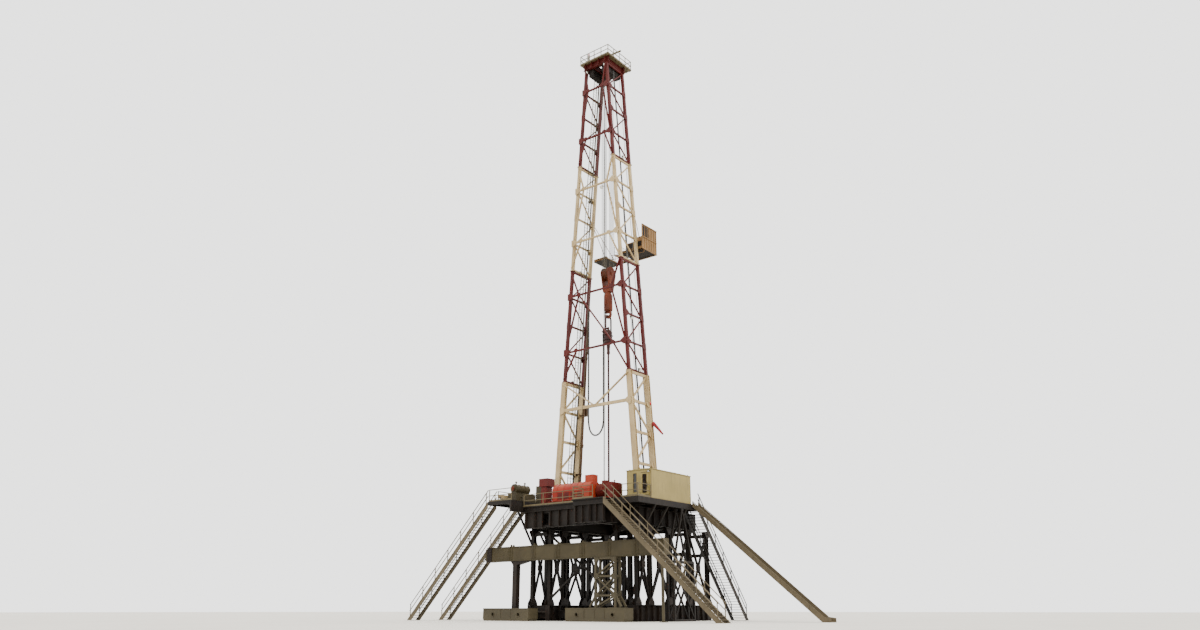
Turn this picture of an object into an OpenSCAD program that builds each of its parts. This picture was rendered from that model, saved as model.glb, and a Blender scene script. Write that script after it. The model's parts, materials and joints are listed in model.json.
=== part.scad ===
// Land drilling rig, drawn at half of its real size
// X runs along the drawworks, +Y points to the open pipe side, the well is at the origin on the ground

/* [Drill floor] */
// Height of the drill floor above the ground
floor_z = 4800; // [4500:50:5200]
// Half width of the main floor
floor_half = 2550; // [2500:10:2700]
// Distance from the well to the edge of the rear landing
floor_back = 3725; // [3600:25:3900]
// Distance from the well to the edge on the pipe side
floor_front = 2775; // [2700:25:3000]
// Thickness of the deck plates
deck_t = 40; // [30:5:60]
// Depth of the cross beams under the deck
cross_h = 200; // [160:10:240]
// Flange width of the cross beams
cross_b = 120; // [100:10:160]
// Depth of the long girders on the columns
girder_h = 720; // [600:20:800]
// Flange width of the long girders
girder_b = 240; // [200:10:280]
// Distance from the well to the edge behind the drawworks drum, left of the rear landing
works_back = 2950; // [2900:25:3000]
// Width of the platform on the left side
left_deck_w = 1450; // [1300:50:1600]
// Height of the left platform above the drill floor
left_raise = 250; // [200:10:300]
// Distance from the well to the far edge of the left platform
left_deck_front = 2125; // [1900:25:2300]
// Width of the platform that carries the doghouse
right_deck_w = 1330; // [1280:10:1400]
// Height of the handrails
rail_h = 520; // [450:10:600]
// Diameter of the handrail tubes
rail_d = 28; // [20:2:36]
// Height of the toe boards
toe_h = 75; // [50:5:100]

/* [Base] */
// Distance from the well to the middle of each base box
base_x = 2350; // [2300:10:2400]
// Width of each base box
base_w = 1300; // [1250:10:1350]
// Height of the base boxes
base_h = 650; // [550:10:750]
// Distance from the well to the near end of the base boxes
base_back = 2025; // [2000:25:2100]
// Distance from the well to the far end of the base boxes
base_front = 3775; // [3725:25:3900]
// Distance between the two rows of columns on a base box
column_gap = 1000; // [940:20:1040]
// Depth of a column
column_w = 170; // [150:5:190]
// Thickness of the diagonal braces between columns
brace_w = 80; // [60:5:100]

/* [Mast] */
// Half width of the mast at the crown
mast_top_half = 662; // [640:2:700]
// Distance from the well to the rear face of the mast
mast_near = 950; // [900:10:1000]
// Distance from the well to the open face of the mast
mast_far = 400; // [380:5:440]
// Height of one bay of the side trusses
bay = 1412; // [1380:2:1440]
// Width of a mast leg
leg_w = 140; // [120:5:160]
// Width of a girt
girt_w = 80; // [60:5:100]
// Width of a diagonal
diagonal_w = 56; // [44:2:70]
// Height of the shoes under the legs
shoe_h = 350; // [300:10:400]

/* [Crown] */
// Depth of the crown beams
crown_beam_h = 300; // [260:10:340]
// Half width of the crown platform
crown_half = 940; // [900:10:1000]
// Pitch radius of the sheaves
sheave_r = 300; // [280:5:310]
// Number of sheaves on the travelling block
sheaves = 5; // [4:1:6]
// Width of a sheave
sheave_w = 66; // [56:2:70]
// Diameter of the drilling line
line_d = 20; // [14:2:26]

/* [Travelling gear] */
// Height of the block sheaves above the ground
block_z = 16200; // [15800:50:16600]
// Distance across the flats of the kelly
kelly_af = 84; // [70:2:96]
// Length of the kelly
kelly_l = 8300; // [8100:50:8400]
// Diameter of the rotary hose
hose_d = 80; // [60:2:100]

/* [Racking board] */
// Height of the racking board above the ground
board_z = 17340; // [17200:20:17500]
// Distance from the well to the outer edge of the racking board
board_front = 1600; // [1500:25:1700]
// Height of the wind walls
windwall_h = 1250; // [1100:25:1350]

/* [Doghouse] */
// Length of the doghouse
house_l = 3000; // [2900:20:3050]
// Width of the doghouse
house_w = 1250; // [1200:10:1270]
// Height of the doghouse
house_h = 1200; // [1150:10:1300]
// Distance from the well to the near end of the doghouse
house_back = 2125; // [2100:25:2175]
// Thickness of the doghouse walls
wall_t = 40; // [30:2:50]
// Width of the door
door_w = 380; // [340:10:420]
// Height of the door
door_h = 980; // [940:10:1020]

/* [Stairs] */
// Clear width of a stair with its stringers
stair_w = 550; // [500:10:600]
// Rise of one step
step_rise = 116; // [110:1:130]
// Depth of a tread
tread_d = 125; // [110:5:150]
// Thickness of a stringer
stringer_t = 16; // [12:1:24]
// Run of the rear stair
rear_run = 5350; // [5000:50:5600]
// Run of the left stairs
left_run = 5000; // [4700:50:5200]
// Run of the right stair
right_run = 4000; // [3800:50:4200]

/* [Box girder] */
// Distance from the well to the middle of the box girder
beam_y = 2625; // [2600:5:2650]
// Height of the underside of the box girder
beam_z = 2500; // [2400:20:2560]
// Depth of the box girder
beam_h = 625; // [560:5:660]
// Width of the box girder
beam_w = 300; // [260:10:320]
// Half length of the box girder
beam_half = 4830; // [4700:10:4900]
// Height of the skid under the tower
skid_h = 525; // [480:5:560]

/* [Hidden] */

// Finishes
red_oxide = "#7d1f17";
cream = "#d9cfb4";
house_cream = "#c9bf90";
dark_steel = "#2c2b2a";
olive = "#6b6345";
skid_grey = "#8f8565";
stair_grey = "#9d927a";
machine_red = "#b33324";
block_orange = "#9b4d1e";
rubber_black = "#2f2f2c";

// Heights that follow from the floor
deck_z = floor_z - deck_t;
girder_top = deck_z - cross_h;
column_top = girder_top - girder_h;
column_h = column_top - base_h;

// Column stations along a base box, from the near end
column_y = [-base_back + column_w, -mast_near, mast_far + leg_w / 2, 2100, base_front - column_w];
column_x = [base_x - column_gap / 2, base_x + column_gap / 2];

// Landing behind the right part of the drawworks, at the head of the rear stair
landing_x = floor_half - 1650;

// Left platform: raised above the floor, on a deep inner beam and shallow outer ones
left_z = floor_z + left_raise;
left_edge_h = 110;

// Mast levels, four bays to a section
mast_foot_half = floor_half - 225;
sections = 4;
section_bays = 4;
mast_foot_z = floor_z + shoe_h;
mast_h = sections * section_bays * bay;
mast_top_z = mast_foot_z + mast_h;
function level(k) = mast_foot_z + k * bay;
function mast_x(z) = mast_foot_half - (z - mast_foot_z) * (mast_foot_half - mast_top_half) / mast_h;

// Crown and block heights
crown_sheave_z = mast_top_z + crown_beam_h / 2;
crown_deck_z = mast_top_z + crown_beam_h;
sheave_pitch = sheave_w + 4;
stack_half = sheaves * sheave_pitch / 2;
groove = 26;
cheek_t = 36;
cheek_low = 950;
hook_d = 300;
hook_h = 1000;
hook_z = block_z - cheek_low - hook_h;
hook_r = 190;
throat_r = 95;
hook_t = 110;
throat_z = hook_z - hook_r + 20;
seat = 0.3;
bail_r = 210;
bail_tube = 42;
bail_inner = bail_r - bail_tube;
bail_rise = bail_inner - sqrt(bail_inner * bail_inner - hook_t * hook_t / 4) + seat;
bail_z = throat_z - throat_r + bail_tube + bail_rise - bail_r;
swivel_top = bail_z - 500;
swivel_h = 900;
swivel_r = 190;
kelly_top = swivel_top - swivel_h;

// Rotary hose: the route hangs from the standpipe, turns up and ends at the swivel
hose_sides = 10;
hose_route = [
    [-1300, 100, 14560], [-1300, 100, 14100], [-1300, 100, 13400], [-1300, 100, 12700], [-1300, 100, 12000],
    [-1300, 100, 11300], [-1300, 100, 10600], [-1300, 100, 9900], [-1295, 95, 9300], [-1270, 90, 8900],
    [-1180, 80, 8550], [-1000, 65, 8330], [-790, 50, 8265], [-580, 35, 8330], [-400, 25, 8550],
    [-315, 15, 8900], [-300, 5, 9300], [-300, 0, 9900], [-300, 0, 10600], [-300, 0, 11300],
    [-300, 0, 12000], [-300, 0, 12600], [-300, 0, 13100]
];
hose_end = hose_route[len(hose_route) - 1];
hose_steps = 3;
gooseneck_r = 110;

// Doghouse position
house_x = floor_half + (right_deck_w - house_w) / 2;
house_mid = house_x + house_w / 2;
louvres = 13;
door_t = 30;
door_x = house_x + 740;
door_lap = 20;
base_rim = 100;
window = [560, 400];
window_sill = 420;
window_y = [-house_back + 925, -house_back + 1925];
roof_t = 50;
roof_over = 25;

// Stair tops and landing
landing_y = house_l - house_back;
landing_l = stair_w;
stringer_d = 190;
right_stair_w = 780;

// Skid and tower under the box girder
tower_x = [1450, 2450];
skid_x = [tower_x[0] - 1500, tower_x[1] + 550];
left_skid_x = [-beam_half, -base_x + 250];

// An I-beam along Z, standing on the XY plane, with its web in the YZ plane
web_t = 14;
module i_beam(l, h, b, tf = 18, tw = web_t)
    linear_extrude(l)
    polygon([
        [-b / 2, -h / 2], [b / 2, -h / 2], [b / 2, -h / 2 + tf], [tw / 2, -h / 2 + tf],
        [tw / 2, h / 2 - tf], [b / 2, h / 2 - tf], [b / 2, h / 2], [-b / 2, h / 2],
        [-b / 2, h / 2 - tf], [-tw / 2, h / 2 - tf], [-tw / 2, -h / 2 + tf], [-b / 2, -h / 2 + tf]
    ]);

// An I-beam along X from x0 to x1, its underside at z
module beam_x(x0, x1, y, z, h, b)
    translate([x0, y, z + h / 2])
    rotate([90, 0, 90])
    i_beam(x1 - x0, h, b);

// An I-beam along Y from y0 to y1, its underside at z
module beam_y(x, y0, y1, z, h, b)
    translate([x, y1, z + h / 2])
    rotate([90, 0, 0])
    i_beam(y1 - y0, h, b);

// A straight bar with a rectangular section from p to q
module bar(p, q, w, d = 0) {
    v = q - p;
    l = norm(v);
    depth = d > 0 ? d : w;
    translate(p)
    rotate([0, acos(v[2] / l), atan2(v[1], v[0])])
    translate([-w / 2, -depth / 2, 0])
    cube([w, depth, l]);
}

// A straight eight-sided tube-like rod from p to q
module rod(p, q, d) {
    v = q - p;
    l = norm(v);
    translate(p)
    rotate([0, acos(v[2] / l), atan2(v[1], v[0])])
    cylinder(d = d, h = l, $fn = 8);
}

// A flat strip from p to q, for bracing that is drawn in one plane
module strip(p, q, w) {
    v = q - p;
    translate(p)
    rotate(atan2(v[1], v[0]))
    translate([0, -w / 2])
    square([norm(v), w]);
}

// A box between two corners
module box(a, b)
    translate(a)
    cube(b - a);

// A handrail from p to q: posts, a top rail, a knee rail and a toe board
module handrail(p, q, spacing = 1000) {
    n = max(1, round(norm(q - p) / spacing));
    for (i = [0 : n])
        bar(p + (q - p) * i / n, p + (q - p) * i / n + [0, 0, rail_h], rail_d);
    for (f = [0.5, 1])
        bar(p + [0, 0, rail_h * f], q + [0, 0, rail_h * f], rail_d);
    bar(p + [0, 0, toe_h / 2], q + [0, 0, toe_h / 2], toe_h, 8);
}

// Base boxes: two long beams, end beams and cross beams with a top plate
module base_box(side) {
    color(dark_steel)
    union() {
        for (dx = [-1, 1])
            beam_y(side * base_x + dx * (base_w - girder_b) / 2, -base_back, base_front,
                0, base_h, girder_b);
        for (y = column_y)
            box([side * base_x - base_w / 2 + girder_b / 2, y - column_w / 2, base_h * 0.15],
                [side * base_x + base_w / 2 - girder_b / 2, y + column_w / 2, base_h]);
    }
}

// Spreaders between the webs of the two base boxes
spreader_h = 300;
spreader_b = 200;
spreader_half = base_x - base_w / 2 + girder_b / 2 - web_t / 2;
module base_spreaders() {
    color(dark_steel)
    for (y = [column_y[0] + 500, 1300, column_y[4] - 500])
        beam_x(-spreader_half, spreader_half, y, base_h * 0.2, spreader_h, spreader_b);
}

// Cross braces between the two frames at their rear columns, with plates on the column flanges
brace_plate = [20, 300];
module cross_braces() {
    half = column_x[0] - column_w / 2;
    inner = half - brace_plate[0];
    low = base_h + brace_plate[1];
    high = column_top - brace_plate[1];
    color(dark_steel)
    union() {
        translate([0, column_y[0] + brace_w / 2, 0])
        rotate([90, 0, 0])
        linear_extrude(brace_w)
        intersection() {
            union() {
                strip([-half, low], [half, high], brace_w);
                strip([-half, high], [half, low], brace_w);
            }
            translate([-inner, base_h])
            square([2 * inner, column_h]);
        }
        for (side = [-1, 1], z = [low, high])
            translate([side * (half - brace_plate[0] / 2) - brace_plate[0] / 2, column_y[0] - column_w / 2,
                z - brace_plate[1] / 2])
            cube([brace_plate[0], column_w, brace_plate[1]]);
    }
}

// Columns with their girts and cross braces on one base box
module column_frame(side) {
    color(dark_steel)
    union() {
        for (x = column_x, y = column_y)
            translate([side * x, y, base_h])
            i_beam(column_h, column_w, column_w);
        for (x = column_x)
            translate([side * x - brace_w / 2, 0, 0])
            rotate([90, 0, 90])
            linear_extrude(brace_w)
            for (i = [0 : len(column_y) - 2]) {
                strip([column_y[i], base_h + brace_w], [column_y[i + 1], column_top - brace_w], brace_w);
                strip([column_y[i], column_top - brace_w], [column_y[i + 1], base_h + brace_w], brace_w);
            }
        for (y = column_y, z = [beam_z + beam_h / 2, column_top - column_w])
            bar([side * column_x[0], y, z], [side * column_x[1], y, z], column_w * 0.8);
    }
}

// Long girders on the columns, with headers across their ends
module floor_girders() {
    color(dark_steel)
    union() {
        for (side = [-1, 1], x = column_x)
            beam_y(side * x, x > base_x ? -base_back : side < 0 ? -works_back : -floor_back + deck_t,
                floor_front, column_top, girder_h, girder_b);
        beam_x(-floor_half, floor_half, -works_back + girder_b / 2, column_top, girder_h, girder_b);
        beam_x(landing_x, floor_half, -floor_back + girder_b / 2 + deck_t, column_top, girder_h, girder_b);
        beam_x(-column_x[1], column_x[1], floor_front - girder_b / 2, column_top, girder_h, girder_b);
    }
}

// Cross beams between the girders and the deck
floor_beam_y = [-floor_back + 100, -works_back + 100, -works_back + 950, -mast_near, mast_far,
    1150, 1900, floor_front - 125];
module floor_beams() {
    color(dark_steel)
    for (y = floor_beam_y)
        beam_x(y < -works_back ? landing_x : -floor_half, floor_half, y, girder_top, cross_h, cross_b);
}

// Deck plate with the hole over the well
rotary_bore = 420;
module drill_floor() {
    color(dark_steel)
    difference() {
        translate([0, 0, deck_z])
        linear_extrude(deck_t)
        polygon([
            [-floor_half, -works_back], [landing_x, -works_back], [landing_x, -floor_back],
            [floor_half, -floor_back], [floor_half, floor_front], [-floor_half, floor_front]
        ]);
        translate([0, 0, deck_z - 1])
        cylinder(d = rotary_bore, h = deck_t + 2, $fn = 48);
    }
}

// Platform left of the floor, with its own edge beams
edge_h = cross_h;
edge_b = 100;
left_edge = floor_half + left_deck_w;
module left_platform() {
    color(dark_steel)
    union() {
        low = left_z - deck_t - left_edge_h;
        box([-left_edge, -floor_back, left_z - deck_t], [-floor_half, left_deck_front, left_z]);
        box([-left_edge, -floor_back, low], [-left_edge + edge_b, left_deck_front, left_z - deck_t]);
        box([-floor_half - edge_b, -floor_back, girder_top], [-floor_half, left_deck_front, left_z - deck_t]);
        for (y = [-floor_back, left_stair_y[1] - edge_b, -mast_near, mast_far, left_deck_front - edge_b])
            box([-left_edge, y, low], [-floor_half, y + edge_b, left_z - deck_t]);
    }
}

// Platform right of the floor, with the landing of the right stair
right_edge = floor_half + right_deck_w;
walk_y = -floor_back + stair_w + 60;
module right_platform() {
    color(dark_steel)
    union() {
        box([floor_half, walk_y, deck_z], [right_edge, landing_y + landing_l, floor_z]);
        for (x = [floor_half, right_edge - edge_b])
            box([x, walk_y, deck_z - edge_h], [x + edge_b, landing_y + landing_l, deck_z]);
        for (y = [walk_y, -house_back, -mast_near, 0, landing_y + landing_l - edge_b])
            box([floor_half, y, deck_z - edge_h], [right_edge, y + edge_b, deck_z]);
    }
}

// Struts from the outer columns up to the edge beams of the side platforms
module platform_braces() {
    out = column_x[1] + column_w / 2;
    low_z = column_top - 700;
    color(dark_steel)
    for (y = column_y, side = [-1, 1]) {
        edge = side < 0 ? left_edge : right_edge;
        top = side < 0 ? left_z - deck_t - left_edge_h : deck_z - edge_h;
        if (y < (side < 0 ? left_deck_front : landing_y + landing_l))
            translate([0, y + brace_w / 2, 0])
            rotate([90, 0, 0])
            linear_extrude(brace_w)
            polygon([[side * out, low_z], [side * out, low_z + 1.6 * brace_w],
                [side * (edge - brace_w), top], [side * edge, top]]);
    }
}

// Rotary table: base, ring and kelly bushing with a hexagonal hole
table_base = [900, 1200, 60];
table_d = 760;
table_h = 130;
bushing_w = 300;
bushing_h = 150;
kelly_gap = 7;
module rotary_table() {
    color(dark_steel)
    difference() {
        union() {
            translate([-table_base[0] / 2, -table_base[1] / 2, floor_z])
            cube(table_base);
            translate([0, 0, floor_z])
            cylinder(d = table_d, h = table_h, $fn = 48);
            translate([-bushing_w / 2, -bushing_w / 2, floor_z + table_h])
            cube([bushing_w, bushing_w, bushing_h]);
            for (a = [0 : 90 : 270])
                rotate([0, 0, a + 45])
                translate([bushing_w * 0.55, 0, floor_z + table_h])
                cylinder(d = 70, h = bushing_h + 50, $fn = 24);
        }
        translate([0, 0, floor_z - 1])
        cylinder(d = (kelly_af + 2 * kelly_gap) / cos(30), h = table_h + bushing_h + 60, $fn = 6);
    }
}

// Box girder across the rig, on the tower, the post and arms from the columns
module box_girder() {
    arm_y = column_y[0] - column_w * 0.4;
    color(olive)
    union() {
        box([-beam_half, -beam_y - beam_w / 2, beam_z], [beam_half, -beam_y + beam_w / 2, beam_z + beam_h]);
        for (z = [beam_z, beam_z + beam_h - 30])
            box([-beam_half, -beam_y - beam_w / 2 - 30, z], [beam_half, -beam_y + beam_w / 2 + 30, z + 30]);
        for (side = [-1, 1])
            box([side * base_x - 150, -beam_y + beam_w / 2, beam_z + 100],
                [side * base_x + 150, arm_y, beam_z + beam_h - 100]);
        for (x = [-beam_half : 1380 : beam_half])
            box([x, -beam_y - beam_w / 2 - 30, beam_z], [x + 24, -beam_y + beam_w / 2 + 30, beam_z + beam_h]);
        box([-beam_half - 90, -beam_y - beam_w / 2 - 40, beam_z + 60],
            [-beam_half, -beam_y + beam_w / 2 + 40, beam_z + beam_h - 60]);
    }
}

// Lattice tower under the box girder, with flared feet
tower_half = 150;
tower_leg = 90;
module girder_tower() {
    top = beam_z;
    knee = skid_h + 480;
    color(skid_grey)
    union() {
        for (x = tower_x, dy = [-1, 1]) {
            out = x < (tower_x[0] + tower_x[1]) / 2 ? -1 : 1;
            box([x - tower_leg / 2, -beam_y + dy * tower_half - tower_leg / 2, skid_h],
                [x + tower_leg / 2, -beam_y + dy * tower_half + tower_leg / 2, top]);
            bar([x, -beam_y + dy * tower_half, knee],
                [x + out * 300, -beam_y + dy * tower_half, skid_h + tower_leg / 2], tower_leg * 0.8);
        }
        for (dy = [-1, 1]) {
            y = -beam_y + dy * tower_half;
            for (z = [knee, (knee + top) / 2, top - tower_leg / 2])
                bar([tower_x[0], y, z], [tower_x[1], y, z], tower_leg * 0.8);
            bar([tower_x[0], y, knee], [tower_x[1], y, (knee + top) / 2], tower_leg * 0.7);
            bar([tower_x[1], y, knee], [tower_x[0], y, (knee + top) / 2], tower_leg * 0.7);
            bar([tower_x[0], y, (knee + top) / 2], [tower_x[1], y, top - tower_leg], tower_leg * 0.7);
            bar([tower_x[0], y, skid_h + tower_leg / 2], [tower_x[1], y, knee], tower_leg * 0.7);
        }
        for (x = tower_x, z = [knee, (knee + top) / 2, top - tower_leg / 2])
            bar([x, -beam_y - tower_half, z], [x, -beam_y + tower_half, z], tower_leg * 0.8);
        for (x = tower_x)
            box([x - 340, -beam_y - tower_half - 60, skid_h], [x + 340, -beam_y + tower_half + 60, skid_h + 20]);
    }
}

// Skids under the girder: boxes with raked ends and lifting holes through their sides
skid_half = 300;
skid_rake = [60, 90];
lift_hole_d = 150;
lift_hole_in = 600;
module girder_skids() {
    color(skid_grey)
    for (span = [skid_x, left_skid_x])
        difference() {
            translate([0, -beam_y + skid_half, 0])
            rotate([90, 0, 0])
            linear_extrude(2 * skid_half)
            polygon([
                [span[0] + skid_rake[0], 0], [span[1] - skid_rake[0], 0], [span[1], skid_rake[1]],
                [span[1], skid_h], [span[0], skid_h], [span[0], skid_rake[1]]
            ]);
            for (x = [span[0] + lift_hole_in, span[1] - lift_hole_in])
                translate([x, -beam_y + skid_half + 1, skid_h / 2])
                rotate([90, 0, 0])
                cylinder(d = lift_hole_d, h = 2 * skid_half + 2, $fn = 32);
        }
}

// Posts under the box girder: a tube at its right end and a boxed leg with a saddle at its left
post_x = beam_half - 190;
post_w = 120;
post_plate = 24;
left_post_x = -beam_half + 1680;
left_post_w = 230;
saddle_half = 480;
saddle_h = 160;
module girder_posts() {
    color(skid_grey) {
        union() {
            box([post_x - post_w, -beam_y - post_w, 0], [post_x + post_w, -beam_y + post_w, post_plate]);
            translate([post_x, -beam_y, post_plate])
            cylinder(d = post_w, h = beam_z - 2 * post_plate, $fn = 24);
            box([post_x - post_w, -beam_y - post_w, beam_z - post_plate],
                [post_x + post_w, -beam_y + post_w, beam_z]);
        }
        translate([left_post_x, -beam_y + left_post_w / 2, 0])
        rotate([90, 0, 0])
        linear_extrude(left_post_w)
        polygon([
            [-left_post_w / 2, skid_h], [left_post_w / 2, skid_h], [left_post_w / 2, beam_z - saddle_h],
            [saddle_half * 1.6, beam_z - post_plate], [saddle_half * 1.6, beam_z],
            [-saddle_half * 0.5, beam_z], [-saddle_half * 0.5, beam_z - post_plate],
            [-left_post_w / 2, beam_z - saddle_h]
        ]);
    }
}

// Stand under the doghouse: a trestle with struts that meet under the platform edge
stand_w = 90;
module doghouse_stand() {
    x = right_edge - edge_b / 2;
    top = deck_z - edge_h;
    y0 = landing_y - house_l / 2;
    y1 = landing_y;
    mid_z = floor_z / 2;
    w = stand_w;
    deep = 3.4 * w;
    color(dark_steel)
    union() {
        for (dx = [-deep, 0], y = [y0, y1])
            box([x + dx - w / 2, y - w / 2, 0], [x + dx + w / 2, y + w / 2, mid_z]);
        for (dx = [-deep, 0]) {
            bar([x + dx, y0, w], [x + dx, y1, mid_z - w], w * 0.7);
            bar([x + dx, y1, w], [x + dx, y0, mid_z - w], w * 0.7);
            bar([x + dx, y0 - w / 2, mid_z - w / 2], [x + dx, y1 + w / 2, mid_z - w / 2], w);
            bar([x + dx, y0, w / 2], [x + dx, y1, w / 2], w);
            bar([x + dx, y0 + w / 2, mid_z - w], [x + dx, (y0 + y1) / 2, top - w / 2], w * 0.8);
            bar([x + dx, y1 - w / 2, mid_z - w], [x + dx, (y0 + y1) / 2, top - w / 2], w * 0.8);
            box([x + dx - w / 2, (y0 + y1) / 2 - w, top - w], [x + dx + w / 2, (y0 + y1) / 2 + w, top]);
        }
        for (y = [y0, y1], z = [w / 2, mid_z - w / 2])
            bar([x - deep, y, z], [x, y, z], w);
    }
}

// Stringers and handrails of a stair that falls along +X from a height
stair_bays = 6;
stair_post_foot = 30;
module stair_frame(run, w, rise) {
    drop = stringer_d * norm([run, rise]) / run;
    color(stair_grey)
    union() {
        for (y = [stringer_t, w])
            translate([0, y, 0])
            rotate([90, 0, 0])
            linear_extrude(stringer_t)
            polygon([[0, rise], [run, 0], [run - drop * run / rise, 0], [0, rise - drop]]);
        for (y = [stringer_t - rail_d / 2, w - stringer_t + rail_d / 2])
            translate([0, y + rail_d / 2, 0])
            rotate([90, 0, 0])
            linear_extrude(rail_d) {
                for (i = [0 : stair_bays]) {
                    along = (i + 0.15) / (stair_bays + 0.4);
                    translate([run * along - rail_d / 2, rise * (1 - along) - stair_post_foot])
                    square([rail_d, rail_h + stair_post_foot]);
                }
                for (f = [0.5, 1])
                    strip([0, rise + rail_h * f], [run * 0.97, rise * 0.03 + rail_h * f], rail_d);
            }
    }
}

// Treads between the stringers of the same stair
module stair_treads(run, w, rise) {
    n = round(rise / step_rise);
    color(stair_grey)
    for (i = [1 : n - 1])
        translate([run * i / n - tread_d * 0.55, stringer_t, rise * (1 - i / n) - 18])
        cube([tread_d, w - 2 * stringer_t, 12]);
}

// Places of the four stairs
module at_rear_stair()
    translate([floor_half, -floor_back + 10, 0])
    children();
left_stair_y = [-floor_back + 10, -1770];
module at_left_stairs()
    for (y = left_stair_y)
        translate([-left_edge, y + stair_w, 0])
        rotate([0, 0, 180])
        children();
module at_right_stair()
    translate([right_edge - 20, landing_y + landing_l, 0])
    rotate([0, 0, 90])
    children();

module rear_stair() at_rear_stair() stair_frame(rear_run, stair_w, floor_z);
module rear_stair_treads() at_rear_stair() stair_treads(rear_run, stair_w, floor_z);
module left_stairs() at_left_stairs() stair_frame(left_run, stair_w, left_z);
module left_stair_treads() at_left_stairs() stair_treads(left_run, stair_w, left_z);
module right_stair() at_right_stair() stair_frame(right_run, right_stair_w, floor_z);
module right_stair_treads() at_right_stair() stair_treads(right_run, right_stair_w, floor_z);

// Escape slide: a trough from the landing down to the ground, with a run-out
slide_w = 480;
slide_run = 5700;
slide_side = 160;
module escape_slide() {
    y = landing_y + 30;
    top = deck_z;
    t = 14;
    side_line = [[right_edge, top + slide_side], [right_edge + slide_run, slide_side + 40],
        [right_edge + slide_run + 300, slide_side], [right_edge + slide_run + 300, 0],
        [right_edge + slide_run - 60, 0], [right_edge, top - 60]];
    floor_line = [[right_edge, top], [right_edge + slide_run, 40], [right_edge + slide_run + 300, 20],
        [right_edge + slide_run + 300, 0], [right_edge + slide_run - 10, 0], [right_edge, top - 40]];
    color(stair_grey)
    union() {
        for (dy = [t, slide_w])
            translate([0, y + dy, 0])
            rotate([90, 0, 0])
            linear_extrude(t)
            polygon(side_line);
        translate([0, y + slide_w, 0])
        rotate([90, 0, 0])
        linear_extrude(slide_w)
        polygon(floor_line);
    }
}

// Handrails round the floor and the platforms
rail_gap = 60;
module handrails() {
    f = floor_front - rail_d;
    b = -floor_back + rail_d;
    color(stair_grey) {
        handrail([-floor_half + rail_d, f, floor_z], [-700, f, floor_z]);
        handrail([700, f, floor_z], [floor_half - rail_d, f, floor_z]);
        handrail([landing_x + rail_gap, b, floor_z], [floor_half - stair_w, b, floor_z]);
        handrail([-floor_half + rail_d, -works_back + rail_d, floor_z],
            [landing_x - rail_d, -works_back + rail_d, floor_z]);
        handrail([landing_x + rail_d, b + rail_gap, floor_z], [landing_x + rail_d, -works_back - rail_gap, floor_z]);
        handrail([floor_half - rail_d, landing_y + landing_l + rail_gap, floor_z],
            [floor_half - rail_d, f - rail_gap, floor_z]);
        handrail([floor_half + rail_gap, landing_y + landing_l - rail_d, floor_z],
            [right_edge - right_stair_w - rail_gap, landing_y + landing_l - rail_d, floor_z], 300);
        handrail([floor_half + 500, walk_y + rail_d, floor_z], [right_edge - rail_gap, walk_y + rail_d, floor_z]);
        handrail([right_edge - rail_d, walk_y + rail_d, floor_z],
            [right_edge - rail_d, -house_back - rail_gap, floor_z]);
        handrail([-left_edge + rail_gap, b, left_z], [-floor_half - rail_d, b, left_z]);
        handrail([-left_edge + rail_d, left_stair_y[0] + stair_w + rail_gap, left_z],
            [-left_edge + rail_d, left_stair_y[1] - rail_gap, left_z]);
        handrail([-left_edge + rail_d, left_stair_y[1] + stair_w + rail_gap, left_z],
            [-left_edge + rail_d, left_deck_front - rail_gap, left_z]);
        handrail([-left_edge + rail_gap, left_deck_front - rail_d, left_z],
            [-floor_half - rail_d, left_deck_front - rail_d, left_z]);
    }
}

// Cable tray on posts along the outer edge of the left platform
tray = [180, 160, 12];
tray_lift = 200;
tray_posts = 6;
module cable_tray() {
    x = -left_edge + 160;
    z = left_z + tray_lift;
    y0 = -floor_back + 600;
    y1 = left_deck_front - 120;
    color(cream)
    union() {
        difference() {
            box([x - tray[0] / 2, y0, z], [x + tray[0] / 2, y1, z + tray[1]]);
            box([x - tray[0] / 2 + tray[2], y0 - 1, z + tray[2]],
                [x + tray[0] / 2 - tray[2], y1 + 1, z + tray[1] + 1]);
        }
        for (i = [0 : tray_posts - 1]) {
            y = y0 + rail_gap + (y1 - y0 - 2 * rail_gap) * i / (tray_posts - 1);
            box([x - 25, y - 25, left_z], [x + 25, y + 25, z]);
        }
    }
}

// Small machines on the left platform: a pump unit, a cabinet and a lamp post
pump = [520, 1300, 420];
pump_d = 400;
cabinet = [350, 600, 880];
lamp_post = [60, 840];
module platform_units() {
    x = -left_edge + 480;
    y = -floor_back + 775;
    color(olive) {
        translate([x, y, left_z])
        cube(pump);
        translate([x + pump[0] / 2, y + 100, left_z + pump[2] + pump_d / 2])
        rotate([-90, 0, 0])
        cylinder(d = pump_d, h = pump[1] - 400, $fn = 32);
        translate([x + 170, y + 1700, left_z])
        cube(cabinet);
        translate([-floor_half - 230, y + 1850, left_z])
        cube([lamp_post[0], lamp_post[0], lamp_post[1]]);
    }
}

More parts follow.
